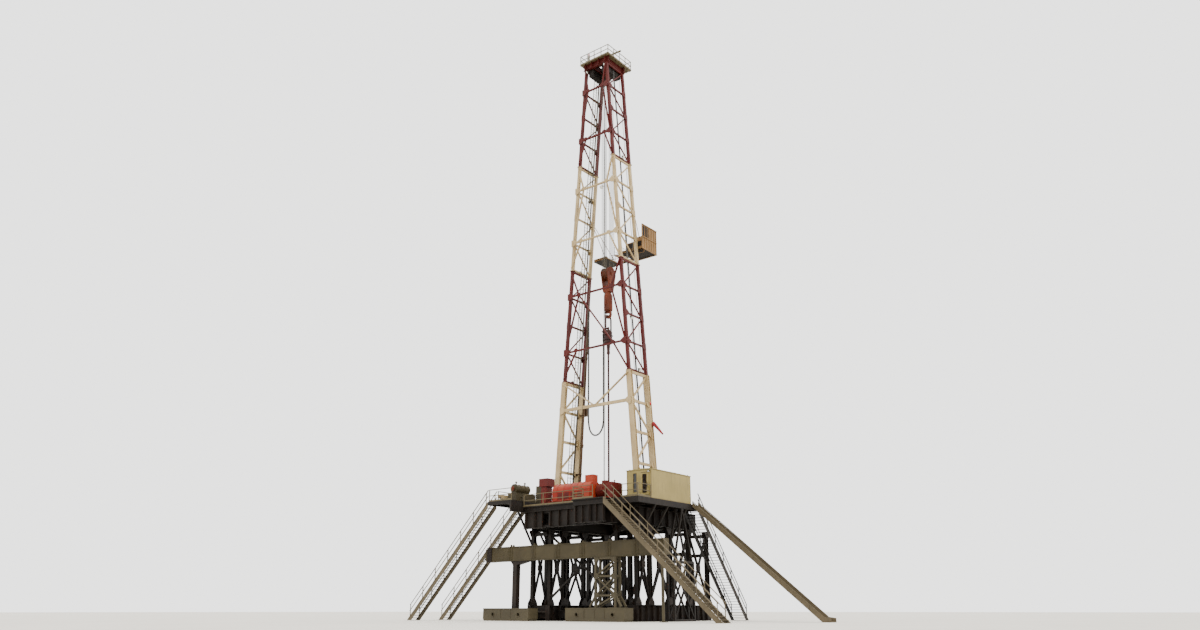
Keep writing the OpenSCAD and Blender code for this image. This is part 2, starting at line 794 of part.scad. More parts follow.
// Doghouse: base, walls, roof and the hinged door
module doghouse_base() {
    color(house_cream)
    box([house_x, -house_back, floor_z], [house_x + house_w, landing_y, floor_z + base_rim]);
}
hinge_r = 12;
hinge_gap = 6;
hinge_h = 60;
hinge_x = door_x - door_lap - hinge_gap - hinge_r;
hinge_y = -house_back - door_t - seat;
hinge_z = [floor_z + base_rim + 160, floor_z + base_rim + door_h - 200];
module doghouse_walls() {
    z0 = floor_z + base_rim;
    z1 = floor_z + house_h;
    color(house_cream)
    union() {
        for (z = hinge_z) {
            translate([hinge_x, hinge_y, z - hinge_h - hinge_gap])
            cylinder(r = hinge_r, h = hinge_h, $fn = 32);
            box([hinge_x - hinge_r, hinge_y, z - hinge_h - hinge_gap],
                [hinge_x + hinge_r / 2, -house_back + wall_t / 2, z - hinge_gap]);
        }
        difference() {
            box([house_x, -house_back, z0], [house_x + house_w, landing_y, z1]);
            box([house_x + wall_t, -house_back + wall_t, z0 - 1],
                [house_x + house_w - wall_t, landing_y - wall_t, z1 + 1]);
            box([door_x, -house_back - 1, z0 - 1],
                [door_x + door_w, -house_back + wall_t + 1, z0 + door_h]);
            box([house_x + 320, -house_back - 1, z0 + window_sill - 240],
                [house_x + 520, -house_back + wall_t + 1, z0 + door_h]);
            for (y = window_y)
                box([house_x - 1, y, z0 + window_sill],
                    [house_x + wall_t + 1, y + window[0], z0 + window_sill + window[1]]);
            box([house_x + 350, landing_y - wall_t - 1, z0 - 1],
                [house_x + 350 + door_w, landing_y + 1, z0 + door_h]);
        }
    }
}
module doghouse_roof() {
    z = floor_z + house_h;
    color(house_cream)
    translate([0, landing_y + roof_over, 0])
    rotate([90, 0, 0])
    linear_extrude(house_l + 2 * roof_over)
    polygon([
        [house_x - roof_over, z], [house_x + house_w + roof_over, z],
        [house_x + house_w + roof_over, z + 25], [house_mid, z + roof_t], [house_x - roof_over, z + 25]
    ]);
}
module doghouse_door() {
    z0 = floor_z + base_rim + 8;
    y = -house_back - door_t - seat;
    color(house_cream)
    union() {
        difference() {
            box([door_x - door_lap, y, z0], [door_x + door_w + door_lap, y + door_t, z0 + door_h]);
            box([door_x + 90, y - 1, z0 + 120], [door_x + door_w - 90, y + door_t + 1, z0 + door_h - 80]);
        }
        for (i = [0 : louvres - 1])
            translate([door_x + 80, y + 8, z0 + 140 + i * (door_h - 220) / louvres])
            rotate([30, 0, 0])
            cube([door_w - 160, 8, 40]);
        for (z = hinge_z) {
            translate([hinge_x, hinge_y, z])
            cylinder(r = hinge_r, h = hinge_h, $fn = 32);
            box([hinge_x, hinge_y - hinge_r / 2, z], [door_x + 60, hinge_y + 1, z + hinge_h]);
        }
    }
}

// Drawworks: skid, hooded housing, drum and the units beside it
works_y = [230 - works_back, 1750 - works_back];
skid_beam_h = 150;
works_z = floor_z + skid_beam_h;
hood_x = [-1150, 1000];
hood_r = 360;
hood_t = 30;
hood_h = 420;
hood_y = works_y[0] + 110 + hood_r;
hood_wall = 150;
drum_y = hood_y + 120;
drum_z = works_z + hood_h - 10;
drum_r = 180;
flange_r = 280;
drum_axle_d = 60;
module drawworks_skid() {
    half = 60;
    color(machine_red)
    union() {
        for (y = [works_y[0] + half, works_y[1] - half])
            beam_x(hood_x[0] - hood_wall, hood_x[1] + 1000, y, floor_z, skid_beam_h, 2 * half);
        for (x = [hood_x[0] + 75, -350, 550, 925, 1250, 1850])
            box([x - 50, works_y[0] + half, floor_z + 20], [x + 50, works_y[1] - half, works_z]);
    }
}
module drawworks_housing() {
    z = works_z;
    h = hood_h;
    r = hood_r;
    y = hood_y;
    in0 = hood_x[0] + hood_wall;
    in1 = hood_x[1] - hood_wall;
    color(machine_red)
    union() {
        difference() {
            union() {
                box([hood_x[0], y - r, z], [hood_x[1], y + r, z + h]);
                translate([hood_x[0], y, z + h])
                rotate([0, 90, 0])
                cylinder(r = r, h = hood_x[1] - hood_x[0], $fn = 64);
            }
            box([in0, y, z - 1], [in1, y + r + 1, z + h + 40]);
            translate([in0, y, z + h])
            rotate([0, 90, 0])
            cylinder(r = r - hood_t, h = in1 - in0, $fn = 64);
            box([in0, y + r / 2, z - 1], [in1, y + r + 1, z + h + r + 1]);
            box([hood_x[0] - 1, y - r - 1, z - r], [hood_x[1] + 1, y + r + 1, z]);
        }
        for (x = [hood_x[0], in1])
            box([x, y + r, z], [x + hood_wall, works_y[1], z + h + 200]);
        box([in1 - 290, y - 170, z + h + r - 2 * hood_t], [hood_x[1], y + 170, z + h + r + 260]);
    }
}
module drawworks_drum() {
    l = hood_x[1] - hood_x[0] - 2 * hood_wall;
    flange = 50;
    color(dark_steel)
    translate([hood_x[0] + hood_wall, drum_y, drum_z])
    rotate([0, 90, 0])
    union() {
        cylinder(d = drum_axle_d, h = l, $fn = 24);
        translate([0, 0, hood_wall])
        cylinder(r = drum_r, h = l - 2 * hood_wall, $fn = 48);
        for (x = [hood_wall, l - hood_wall - flange])
            translate([0, 0, x])
            cylinder(r = flange_r, h = flange, $fn = 48);
    }
}

// Motor, gear case and the console left of the drum
motor = [600, 620];
motor_foot = [400, 400, 60];
gear_case = [260, 700, 640];
console = [300, 400, 880];
console_head = [500, 500, 340];
module drawworks_units() {
    z = works_z;
    motor_x = hood_x[1] + 50;
    motor_y = hood_y + 250;
    console_x = hood_x[0] - 750;
    color(red_oxide) {
        translate([motor_x, motor_y, z + motor_foot[2] - 10 + motor[0] / 2])
        rotate([0, 90, 0])
        cylinder(d = motor[0], h = motor[1], $fn = 48);
        translate([motor_x + (motor[1] - motor_foot[0]) / 2, motor_y - motor_foot[1] / 2, z])
        cube(motor_foot);
        translate([motor_x + motor[1] + 50, motor_y - gear_case[1] / 2, z])
        cube(gear_case);
        translate([console_x, hood_y - 250, floor_z])
        cube(console);
        translate([console_x + (console[0] - console_head[0]) / 2, hood_y - 300, floor_z + console[2]])
        cube(console_head);
    }
}

// Shoes under the mast legs: plate, tapered pedestal and a pin
module mast_shoes() {
    color(red_oxide)
    for (side = [-1, 1], y = [-mast_near, mast_far])
        translate([side * mast_foot_half, y, floor_z])
        union() {
            box([-200, -150, 0], [200, 150, 30]);
            translate([0, leg_w / 2, 0])
            rotate([90, 0, 0])
            linear_extrude(leg_w)
            polygon([[-170, 30], [170, 30], [leg_w / 2 + 20, shoe_h], [-leg_w / 2 - 20, shoe_h]]);
            translate([0, leg_w / 2 + 30, shoe_h * 0.6])
            rotate([90, 0, 0])
            cylinder(d = 90, h = leg_w + 60, $fn = 32);
        }
}

// A mast leg between two heights, sheared so that its ends stay level
module mast_leg(side, y, z0, z1)
    translate([0, y + leg_w / 2, 0])
    rotate([90, 0, 0])
    linear_extrude(leg_w)
    polygon([
        [side * mast_x(z0) - leg_w / 2, z0], [side * mast_x(z0) + leg_w / 2, z0],
        [side * mast_x(z1) + leg_w / 2, z1], [side * mast_x(z1) - leg_w / 2, z1]
    ]);

// One side of one mast section: two legs, girts at every bay and zigzag diagonals
flange_t = 22;
flange_w = leg_w + 56;
function section_paint(s) = s % 2 == 0 ? cream : red_oxide;
module side_truss(side, s) {
    z0 = level(section_bays * s);
    z1 = level(section_bays * (s + 1));
    inset = flange_t + girt_w / 2;
    levels = [z0 + inset, level(section_bays * s + 1), level(section_bays * s + 2),
        level(section_bays * s + 3), z1 - inset];
    heavy = s == 0 ? 1.5 : 1;
    color(section_paint(s))
    union() {
        for (y = [-mast_near, mast_far]) {
            mast_leg(side, y, z0, z1);
            for (z = [z0, z1 - flange_t])
                translate([side * mast_x(z) - flange_w / 2, y - flange_w / 2, z])
                cube([flange_w, flange_w, flange_t]);
        }
        for (z = levels)
            bar([side * mast_x(z), -mast_near, z], [side * mast_x(z), mast_far, z], girt_w * heavy, girt_w);
        for (i = [0 : section_bays - 1]) {
            low_y = i % 2 == 0 ? mast_far : -mast_near;
            high_y = i % 2 == 0 ? -mast_near : mast_far;
            bar([side * mast_x(levels[i]), low_y, levels[i]],
                [side * mast_x(levels[i + 1]), high_y, levels[i + 1]], diagonal_w * heavy, diagonal_w);
        }
    }
}

// Rear bracing of one section, lapped on the outer face of the legs; above the lowest
// section each girt carries a brace to each leg, and section 2 has one long tie across
knee_share = 0.62;
module knee(side, share, girt_z, leg_z)
    strip([side * share * mast_x(girt_z), girt_z], [side * mast_x(leg_z), leg_z], diagonal_w);
module rear_bracing(s) {
    b = section_bays * s;
    lap = 120;
    girts = s == 0 ? [b + 3] : [b + 1, b + 3];
    color(section_paint(s))
    translate([0, -mast_near - leg_w / 2, 0])
    rotate([90, 0, 0])
    linear_extrude(girt_w)
    union() {
        for (k = girts) {
            z = level(k);
            strip([-mast_x(z) - leg_w / 2, z], [mast_x(z) + leg_w / 2, z], s == 0 ? girt_w * 1.8 : girt_w);
        }
        for (side = [-1, 1])
            if (s == 0)
                knee(side, 0, level(b + 3), level(b + 4) - lap);
            else {
                knee(side, knee_share, level(b + 3), level(b + 4) - lap);
                knee(side, knee_share, level(b + 3), level(b + 1));
                knee(side, knee_share, level(b + 1), level(b) + lap);
            }
        if (s == 1)
            strip([-knee_share * mast_x(level(b + 3)), level(b + 3)],
                [knee_share * mast_x(level(b + 1)), level(b + 1)], diagonal_w);
    }
}

// Crown frame on the leg tops
crown_gap = 60;
module crown_frame() {
    half = mast_top_half + 180;
    color(red_oxide)
    union() {
        for (y = [-mast_near, mast_far])
            beam_x(-half, half, y, mast_top_z, crown_beam_h, 140);
        for (x = [-mast_top_half, -stack_half - crown_gap, stack_half + crown_gap, mast_top_half])
            beam_y(x, -mast_near - 180, mast_far + 180, mast_top_z, crown_beam_h, 80);
    }
}

// Crown platform: deck round the sheaves, handrails, a lifting beam and a lamp post
crown_y = [-mast_near - 225, mast_far + 475];
crown_deck_t = 30;
lift_h = 900;
module crown_platform() {
    z = crown_deck_z;
    d = crown_deck_t;
    x1 = crown_half - 20;
    y0 = crown_y[0] + 20;
    y1 = crown_y[1] - 20;
    well = stack_half + 100;
    head = [0, crown_gap, z + lift_h];
    color(cream)
    union() {
        difference() {
            box([-crown_half, crown_y[0], z], [crown_half, crown_y[1], z + d]);
            box([-well, -sheave_r - 120, z - 1], [well, sheave_r + 100, z + d + 1]);
        }
        for (y = [y0, y1])
            handrail([-x1, y, z + d], [x1, y, z + d], 500);
        for (x = [-x1, x1])
            handrail([x, y0, z + d], [x, y1, z + d], 500);
        for (side = [-1, 1])
            bar([side * (well + crown_gap), sheave_r, z], head, 60);
        bar(head - [60, 0, 0], head + [crown_half - 180, 140, 80], 70);
        bar([380 - crown_half, y0 + 255, z + d], [380 - crown_half, y0 + 255, z + rail_h + 100], 70);
    }
}

// One sheave with a grooved rim, its axis along X
module sheave(r, w) {
    rim = r - line_d / 2 - 0.5;
    rotate([0, 90, 0])
    translate([0, 0, -w / 2])
    rotate_extrude($fn = 48)
    polygon([
        [40, 0], [r + groove, 0], [r + groove, 8], [rim, w / 2 - line_d / 2 - 1],
        [rim, w / 2 + line_d / 2 + 1], [r + groove, w - 8], [r + groove, w], [40, w]
    ]);
}
function sheave_x(i) = (i - (sheaves - 1) / 2) * sheave_pitch;

// Crown sheaves on one shaft between two bearing beams
module crown_sheaves() {
    color(dark_steel) {
        for (i = [0 : sheaves - 1])
            translate([sheave_x(i), 0, crown_sheave_z])
            sheave(sheave_r, sheave_w);
        translate([-stack_half - 53, 0, crown_sheave_z])
        rotate([0, 90, 0])
        cylinder(r = 40, h = 2 * stack_half + 106, $fn = 32);
    }
}

// Racking board: two wings with pipe fingers, a diving board and wind walls on the right wing
board_x = 1300;
board_gap = 480;
wing_t = 120;
module racking_board() {
    y0 = mast_far + leg_w / 2;
    inner = board_gap;
    outer = board_x;
    wall_x = outer + 500;
    color(cream)
    union() {
        for (side = [-1, 1]) {
            out = side < 0 ? outer : wall_x;
            beam_x(side < 0 ? -out : inner, side < 0 ? -inner : out, y0 + 50, board_z, wing_t, 90);
            beam_x(side < 0 ? -out : inner, side < 0 ? -inner : out, board_front - 50, board_z, wing_t, 90);
            for (x = [inner + 45 : 130 : out])
                box([side * x - 22, y0, board_z + 30], [side * x + 22, board_front, board_z + 90]);
        }
        box([-inner, board_front - 95, board_z + 20], [inner, board_front, board_z + wing_t]);
        box([-110, y0 + 190, board_z + wing_t - 30], [110, board_front, board_z + wing_t]);
        box([wall_x, y0 - 100, board_z - 60], [wall_x + 16, board_front + 40, board_z + windwall_h]);
        box([inner - 20, board_front, board_z - 60], [wall_x, board_front + 16, board_z + windwall_h]);
        box([inner + 200, y0 + 95, board_z - 200], [wall_x, y0 + 111, board_z + 500]);
    }
}

// Standpipe up the left rear leg, with clamps and the gooseneck for the hose
pipe_d = 110;
module standpipe() {
    y = mast_far - leg_w;
    tip = hose_route[0];
    top = [tip[0] - 130, y, tip[2] + 140];
    foot = [-mast_foot_half + 335, y, floor_z];
    rise = 6;
    color(cream)
    union() {
        rod(foot + [0, 0, rise], top, pipe_d);
        translate(foot)
        cylinder(d = pipe_d + 60, h = 24, $fn = 24);
        for (k = [1 : 2 : 5]) {
            z = level(k);
            x = foot[0] + (top[0] - foot[0]) * (z - foot[2]) / (top[2] - foot[2]);
            bar([-mast_x(z) + girt_w / 2 + 4, y, z], [x, y, z], 60);
        }
        rod(top, [tip[0], tip[1], tip[2] + 330], pipe_d * 0.9);
        translate([tip[0], tip[1], tip[2]])
        cylinder(d = pipe_d, h = 380, $fn = 24);
    }
}

// Windsock on a bracket from the right leg
module windsock() {
    z = 8400;
    x = mast_x(z) + leg_w / 2;
    color(machine_red)
    union() {
        bar([x + 4, mast_far, z], [x + 330, mast_far, z + 60], 30);
        rod([x + 320, mast_far, z - 30], [x + 320, mast_far, z + 160], 20);
        translate([x + 320, mast_far, z + 120])
        rotate([0, 122, -10])
        cylinder(d1 = 150, d2 = 70, h = 620, $fn = 24);
    }
}

// Travelling block: cheeks, sheaves, crosshead, hook body and the hook itself
module travelling_block() {
    color(block_orange)
    union() {
        for (side = [-1, 1])
            translate([side * (stack_half + cheek_t / 2) - cheek_t / 2, 0, 0])
            rotate([90, 0, 90])
            linear_extrude(cheek_t)
            union() {
                translate([0, block_z])
                circle(r = sheave_r + 50, $fn = 64);
                polygon([[-sheave_r - 50, block_z], [sheave_r + 50, block_z],
                    [150, block_z - cheek_low], [-150, block_z - cheek_low]]);
            }
        translate([-stack_half, -150, block_z - cheek_low])
        cube([2 * stack_half, 300, 330]);
        for (i = [0 : sheaves - 1])
            translate([sheave_x(i), 0, block_z])
            sheave(sheave_r, sheave_w);
        translate([-stack_half - 1, 0, block_z])
        rotate([0, 90, 0])
        cylinder(r = 45, h = 2 * stack_half + 2, $fn = 32);
        translate([0, 0, hook_z])
        cylinder(d = hook_d, h = hook_h, $fn = 48);
        translate([0, hook_t / 2, throat_z])
        rotate([90, 0, 0])
        linear_extrude(hook_t)
        difference() {
            union() {
                circle(r = hook_r, $fn = 48);
                polygon([[-hook_r * 0.6, 0], [-hook_r * 0.6, hook_r + 40], [hook_r * 0.9, hook_r + 40], [hook_r, 0]]);
            }
            circle(r = throat_r, $fn = 48);
            polygon([[-hook_r - 60, 20], [-20, 20], [-20, 90], [-hook_r - 60, 110]]);
        }
    }
}

// Swivel with its bail and gooseneck, and the kelly that hangs from it
module swivel_and_kelly() {
    color(dark_steel)
    union() {
        translate([0, 0, bail_z])
        rotate([90, 0, 90])
        rotate_extrude(angle = 180, $fn = 48)
        translate([bail_r, 0])
        circle(r = bail_tube, $fn = 24);
        for (side = [-1, 1])
            translate([0, side * bail_r, swivel_top - 240])
            cylinder(r = bail_tube, h = bail_z - swivel_top + 240, $fn = 24);
        translate([0, 0, swivel_top - swivel_h])
        rotate_extrude($fn = 48)
        polygon([[0, 0], [90, 0], [90, 120], [swivel_r, 200], [swivel_r, swivel_h - 120],
            [110, swivel_h - 30], [70, swivel_h], [0, swivel_h]]);
        translate([0, 0, swivel_top - 260])
        rotate([90, 0, 0])
        translate([0, 0, -bail_r - 50])
        cylinder(r = 60, h = 2 * bail_r + 100, $fn = 24);
        rod([0, 0, swivel_top - 60], [0, 0, swivel_top + 130], 90);
        rod([0, 0, swivel_top + 90], [hose_end[0], 0, swivel_top + 60], 84);
        rod([hose_end[0], 0, swivel_top + 96], [hose_end[0], 0, hose_end[2] + seat], 84);
        translate([0, 0, kelly_top - kelly_l])
        cylinder(d = kelly_af / cos(30), h = kelly_l + 10, $fn = 6);
    }
}

// Drilling lines from the crown sheaves to the block sheaves
module drill_lines() {
    color(dark_steel)
    for (i = [0 : sheaves - 1], side = [-1, 1])
        translate([sheave_x(i), side * sheave_r, block_z])
        cylinder(d = line_d, h = crown_sheave_z - block_z, $fn = 8);
}

// Lines that stay still: the fast line off the drum, the dead line and a hoist line to the floor
module fixed_lines() {
    top = mast_top_z - 4 * seat;
    foot = floor_z + 0.7;
    beam = stack_half + crown_gap;
    dead_x = mast_foot_half - 545;
    dead_y = mast_far - 150;
    hoist_y = mast_far - 40;
    color(dark_steel) {
        rod([-beam, drum_y + drum_r + line_d / 2 + seat, drum_z], [-beam, -200, top], line_d);
        rod([dead_x, dead_y, foot], [beam, dead_y, top], line_d);
        rod([-550, hoist_y, foot], [-470, hoist_y, top], line_d * 0.8);
    }
}

// Points along the hose: a smooth curve through the route
function spline(a, b, c, d, t) =
    0.5 * (2 * b + (c - a) * t + (2 * a - 5 * b + 4 * c - d) * t * t
        + (3 * b - a - 3 * c + d) * t * t * t);
function route_point(i) = hose_route[max(0, min(len(hose_route) - 1, i))];
hose_path = concat(
    [for (i = [0 : len(hose_route) - 2], k = [0 : hose_steps - 1])
        spline(route_point(i - 1), route_point(i), route_point(i + 1), route_point(i + 2), k / hose_steps)],
    [hose_route[len(hose_route) - 1]]
);
function path_point(i) = hose_path[max(0, min(len(hose_path) - 1, i))];
function heading(i) = let (v = path_point(i + 1) - path_point(i - 1)) v / norm(v);
function ring(i) =
    let (t = heading(i), n0 = cross([0, 1, 0], t), n = n0 / norm(n0), b = cross(t, n))
    [for (k = [0 : hose_sides - 1])
        path_point(i) + hose_d / 2 * (cos(360 * k / hose_sides) * n + sin(360 * k / hose_sides) * b)];

// Rotary hose swept along its route
module rotary_hose() {
    rings = len(hose_path);
    points = [for (i = [0 : rings - 1]) each ring(i)];
    sides = [for (i = [0 : rings - 2], k = [0 : hose_sides - 1])
        [i * hose_sides + k, (i + 1) * hose_sides + k,
         (i + 1) * hose_sides + (k + 1) % hose_sides, i * hose_sides + (k + 1) % hose_sides]];
    first_cap = [for (k = [0 : hose_sides - 1]) k];
    last_cap = [for (k = [hose_sides - 1 : -1 : 0]) (rings - 1) * hose_sides + k];
    color(rubber_black)
    polyhedron(points, concat(sides, [first_cap], [last_cap]), convexity = 6);
}

base_box(-1);  // base_box_left
base_box(1);  // base_box_right
base_spreaders();
cross_braces();
column_frame(-1);  // column_frame_left
column_frame(1);  // column_frame_right
floor_girders();
floor_beams();
drill_floor();
left_platform();
right_platform();
platform_braces();
rotary_table();
box_girder();
girder_tower();
girder_skids();
girder_posts();
doghouse_stand();
rear_stair();
rear_stair_treads();
left_stairs();
left_stair_treads();
right_stair();
right_stair_treads();
escape_slide();
handrails();
cable_tray();
platform_units();
doghouse_walls();
doghouse_roof();
doghouse_base();
doghouse_door();
drawworks_skid();
drawworks_housing();
drawworks_drum();
drawworks_units();
mast_shoes();
side_truss(-1, 0);  // mast_left_1
side_truss(-1, 1);  // mast_left_2
side_truss(-1, 2);  // mast_left_3
side_truss(-1, 3);  // mast_left_4
side_truss(1, 0);  // mast_right_1
side_truss(1, 1);  // mast_right_2
side_truss(1, 2);  // mast_right_3
side_truss(1, 3);  // mast_right_4
rear_bracing(0);  // mast_rear_1
rear_bracing(1);  // mast_rear_2
rear_bracing(2);  // mast_rear_3
rear_bracing(3);  // mast_rear_4
crown_frame();
crown_platform();
crown_sheaves();
racking_board();
standpipe();
windsock();
fixed_lines();
travelling_block();
swivel_and_kelly();
drill_lines();
rotary_hose();
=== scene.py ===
# %% [markdown]
# # A land drilling rig at half size
#
# The steelwork of this rig comes in as a finished model, the frame. This lesson dresses it:
# every surface gets the paint, dust and rust of a machine that has stood outdoors for years,
# and the small things that make it a rig are added, such as ropes, hose, gratings and lamps.
# All lengths are in metres on the half-size model, with the well at the origin on the ground.

# %% Start
import json
import math

import bpy
import numpy as np
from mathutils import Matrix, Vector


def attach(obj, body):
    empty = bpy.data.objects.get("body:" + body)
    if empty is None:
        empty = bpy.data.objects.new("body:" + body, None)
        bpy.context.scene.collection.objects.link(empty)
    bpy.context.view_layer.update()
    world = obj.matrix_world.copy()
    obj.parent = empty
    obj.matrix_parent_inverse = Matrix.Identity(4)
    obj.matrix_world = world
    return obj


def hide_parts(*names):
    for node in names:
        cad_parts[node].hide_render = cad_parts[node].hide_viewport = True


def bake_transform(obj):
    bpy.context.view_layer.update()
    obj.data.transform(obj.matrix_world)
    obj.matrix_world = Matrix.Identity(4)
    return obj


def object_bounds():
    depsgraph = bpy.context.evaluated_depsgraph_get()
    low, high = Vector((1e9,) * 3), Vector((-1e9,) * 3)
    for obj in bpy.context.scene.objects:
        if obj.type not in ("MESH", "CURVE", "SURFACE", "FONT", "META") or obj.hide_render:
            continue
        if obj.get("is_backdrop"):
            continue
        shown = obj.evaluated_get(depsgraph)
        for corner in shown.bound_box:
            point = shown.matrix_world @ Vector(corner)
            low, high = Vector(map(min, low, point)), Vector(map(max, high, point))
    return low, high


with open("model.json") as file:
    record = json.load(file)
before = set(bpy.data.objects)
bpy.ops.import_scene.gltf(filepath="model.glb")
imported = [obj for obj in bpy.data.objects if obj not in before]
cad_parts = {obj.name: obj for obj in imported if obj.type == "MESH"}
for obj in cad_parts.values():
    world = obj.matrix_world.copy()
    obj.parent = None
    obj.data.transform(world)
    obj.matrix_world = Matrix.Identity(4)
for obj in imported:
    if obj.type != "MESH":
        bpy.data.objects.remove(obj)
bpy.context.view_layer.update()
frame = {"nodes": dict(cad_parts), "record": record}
nodes = frame["nodes"]

# %% [markdown]
# ## The camera
#
# The rig was photographed by someone standing on the ground, off one corner of the floor, with
# a wide lens tilted up to hold the crown. The place, the tilt and the focal length were worked
# out from the mast: its legs give the vertical lines and its girts give the two level directions.

# %% Camera
FOCAL_MM, TILT, HEADING = 26.15, 18.71, 38.14
camera_data = bpy.data.cameras.new("camera")
camera_data.lens = FOCAL_MM
camera_data.sensor_width = 36
camera_data.clip_end = 500
camera = bpy.data.objects.new("camera", camera_data)
camera.location = (24.555, -31.925, 0.44)
camera.rotation_euler = (math.radians(90 + TILT), 0, math.radians(HEADING))
bpy.context.scene.collection.objects.link(camera)
bpy.context.scene.camera = camera

# %% [markdown]
# ## Light and floor
#
# The day was hazy: light comes from the whole sky, with a weak sun behind the photographer. A
# pale sky does most of the work here, and one very wide sun lamp gives the legs a lit side.

# %% Light and floor
world = bpy.data.worlds.new("pale sky")
bpy.context.scene.world = world
world.use_nodes = True
world.node_tree.nodes["Background"].inputs["Color"].default_value = (0.85, 0.85, 0.84, 1)
world.node_tree.nodes["Background"].inputs["Strength"].default_value = 3.1

sun_data = bpy.data.lights.new("hazy sun", "SUN")
sun_data.energy = 1.6
sun_data.angle = math.radians(35)
sun_data.color = (1.0, 0.96, 0.90)
sun = bpy.data.objects.new("hazy sun", sun_data)
sun.rotation_euler = (math.radians(48), 0, math.radians(62))
bpy.context.scene.collection.objects.link(sun)

bpy.ops.mesh.primitive_plane_add(size=400, location=(0, 0, 0))
floor = bpy.context.object
floor.name = "pale_floor"
floor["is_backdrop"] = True


# %% [markdown]
# ## Colours and nodes
#
# Painters name colours by the hex values of a swatch. Cycles wants light values, so one function
# undoes the sRGB curve. A second small function adds a shader node with its settings and links,
# so that each finish below reads as a list of what its surface is made of.

# %% Colours and nodes
def hex_to_linear(swatch):
    """sRGB hex to linear light: below 0.04 a straight line, above it the power 2.4."""
    value = np.array([int(swatch[i:i + 2], 16) / 255 for i in (1, 3, 5)])
    linear = np.where(value <= 0.04045, value / 12.92, ((value + 0.055) / 1.055) ** 2.4)
    return (*linear.tolist(), 1.0)


def add_node(tree, kind, inputs=None, **settings):
    """A new shader node: settings are its fields, inputs are numbers, swatches or sockets."""
    made = tree.nodes.new("ShaderNode" + kind)
    for field, value in settings.items():
        setattr(made, field, value)
    for socket, value in (inputs or {}).items():
        if isinstance(value, bpy.types.NodeSocket):
            tree.links.new(value, made.inputs[socket])
        else:
            if isinstance(value, str):
                value = hex_to_linear(value)
            made.inputs[socket].default_value = value
    return made


def new_finish(name):
    """An empty material: its node tree, and the object coordinates in metres."""
    finish = bpy.data.materials.new(name)
    finish.use_nodes = True
    tree = finish.node_tree
    tree.nodes.clear()
    place = add_node(tree, "TexCoord").outputs["Object"]
    return finish, tree, place


def close_finish(tree, **inputs):
    """Puts the last shader and the output on a tree; underscores stand for spaces."""
    shader = add_node(tree, "BsdfPrincipled",
                      {key.replace("_", " "): value for key, value in inputs.items()})
    add_node(tree, "OutputMaterial", {"Surface": shader.outputs[0]})


# %% [markdown]
# ## Weathered paint
#
# Oilfield steel is sprayed with alkyd enamel over primer. The sun fades it in patches about a
# metre wide, rain draws dirt down it in narrow runs, dust settles on whatever faces up, and rust
# breaks through in spots. Each of those is one noise pattern at its real size, laid one over the
# other in the order in which they happen to the steel.

# %% Weathered paint
FADE_MM, RUN_MM, RUST_MM = 900, 110, 70
WET_DIRT = "#3a332b"


def blotches(tree, place, size_mm, low, high, stretch=(1, 1, 1), detail=3.0):
    """A mask from 0 to 1: noise whose patches are size_mm wide, cut between low and high."""
    scaled = add_node(tree, "Mapping", {"Vector": place, "Scale": stretch}).outputs[0]
    noise = add_node(tree, "TexNoise", {"Vector": scaled, "Scale": 1000 / size_mm,
                                        "Detail": detail, "Roughness": 0.6})
    return add_node(tree, "MapRange", {"Value": noise.outputs[0], "From Min": low,
                                       "From Max": high}).outputs[0]


def painted(name, paint, faded, rust_share, dust_share, gloss, dust="#a3967c", rust="#5b2f1b"):
    """Enamel with fading, dirt runs, dust and rust: each layer is mixed over the last by a mask."""
    finish, tree, place = new_finish(name)
    fade = blotches(tree, place, FADE_MM, 0.35, 0.7)
    runs = blotches(tree, place, RUN_MM, 0.55, 0.8, stretch=(1, 1, 0.09))
    weak_runs = add_node(tree, "Math", {0: runs, 1: 0.45}, operation="MULTIPLY").outputs[0]
    up = add_node(tree, "SeparateXYZ",
                  {0: add_node(tree, "NewGeometry").outputs["Normal"]}).outputs[2]
    settled = add_node(tree, "MapRange", {"Value": up, "From Min": 0.35, "From Max": 0.95,
                                          "To Max": dust_share}).outputs[0]
    edge = 0.74 - 0.16 * rust_share
    spots = blotches(tree, place, RUST_MM, edge, edge + 0.07, detail=6.0)
    colour = paint
    for mask, swatch in ((fade, faded), (weak_runs, WET_DIRT), (settled, dust), (spots, rust)):
        colour = add_node(tree, "MixRGB", {"Fac": mask, "Color1": colour,
                                           "Color2": swatch}).outputs[0]
    rough = add_node(tree, "MapRange", {"Value": spots, "To Min": 1 - gloss,
                                        "To Max": 0.92}).outputs[0]
    grain = add_node(tree, "TexNoise", {"Vector": place, "Scale": 90.0, "Detail": 2.0})
    relief = add_node(tree, "Math", {0: grain.outputs[0], 1: spots}, operation="ADD").outputs[0]
    bump = add_node(tree, "Bump", {"Height": relief, "Strength": 0.25, "Distance": 0.004})
    close_finish(tree, Base_Color=colour, Roughness=rough, Normal=bump.outputs[0],
                 Specular_IOR_Level=0.22)
    return finish


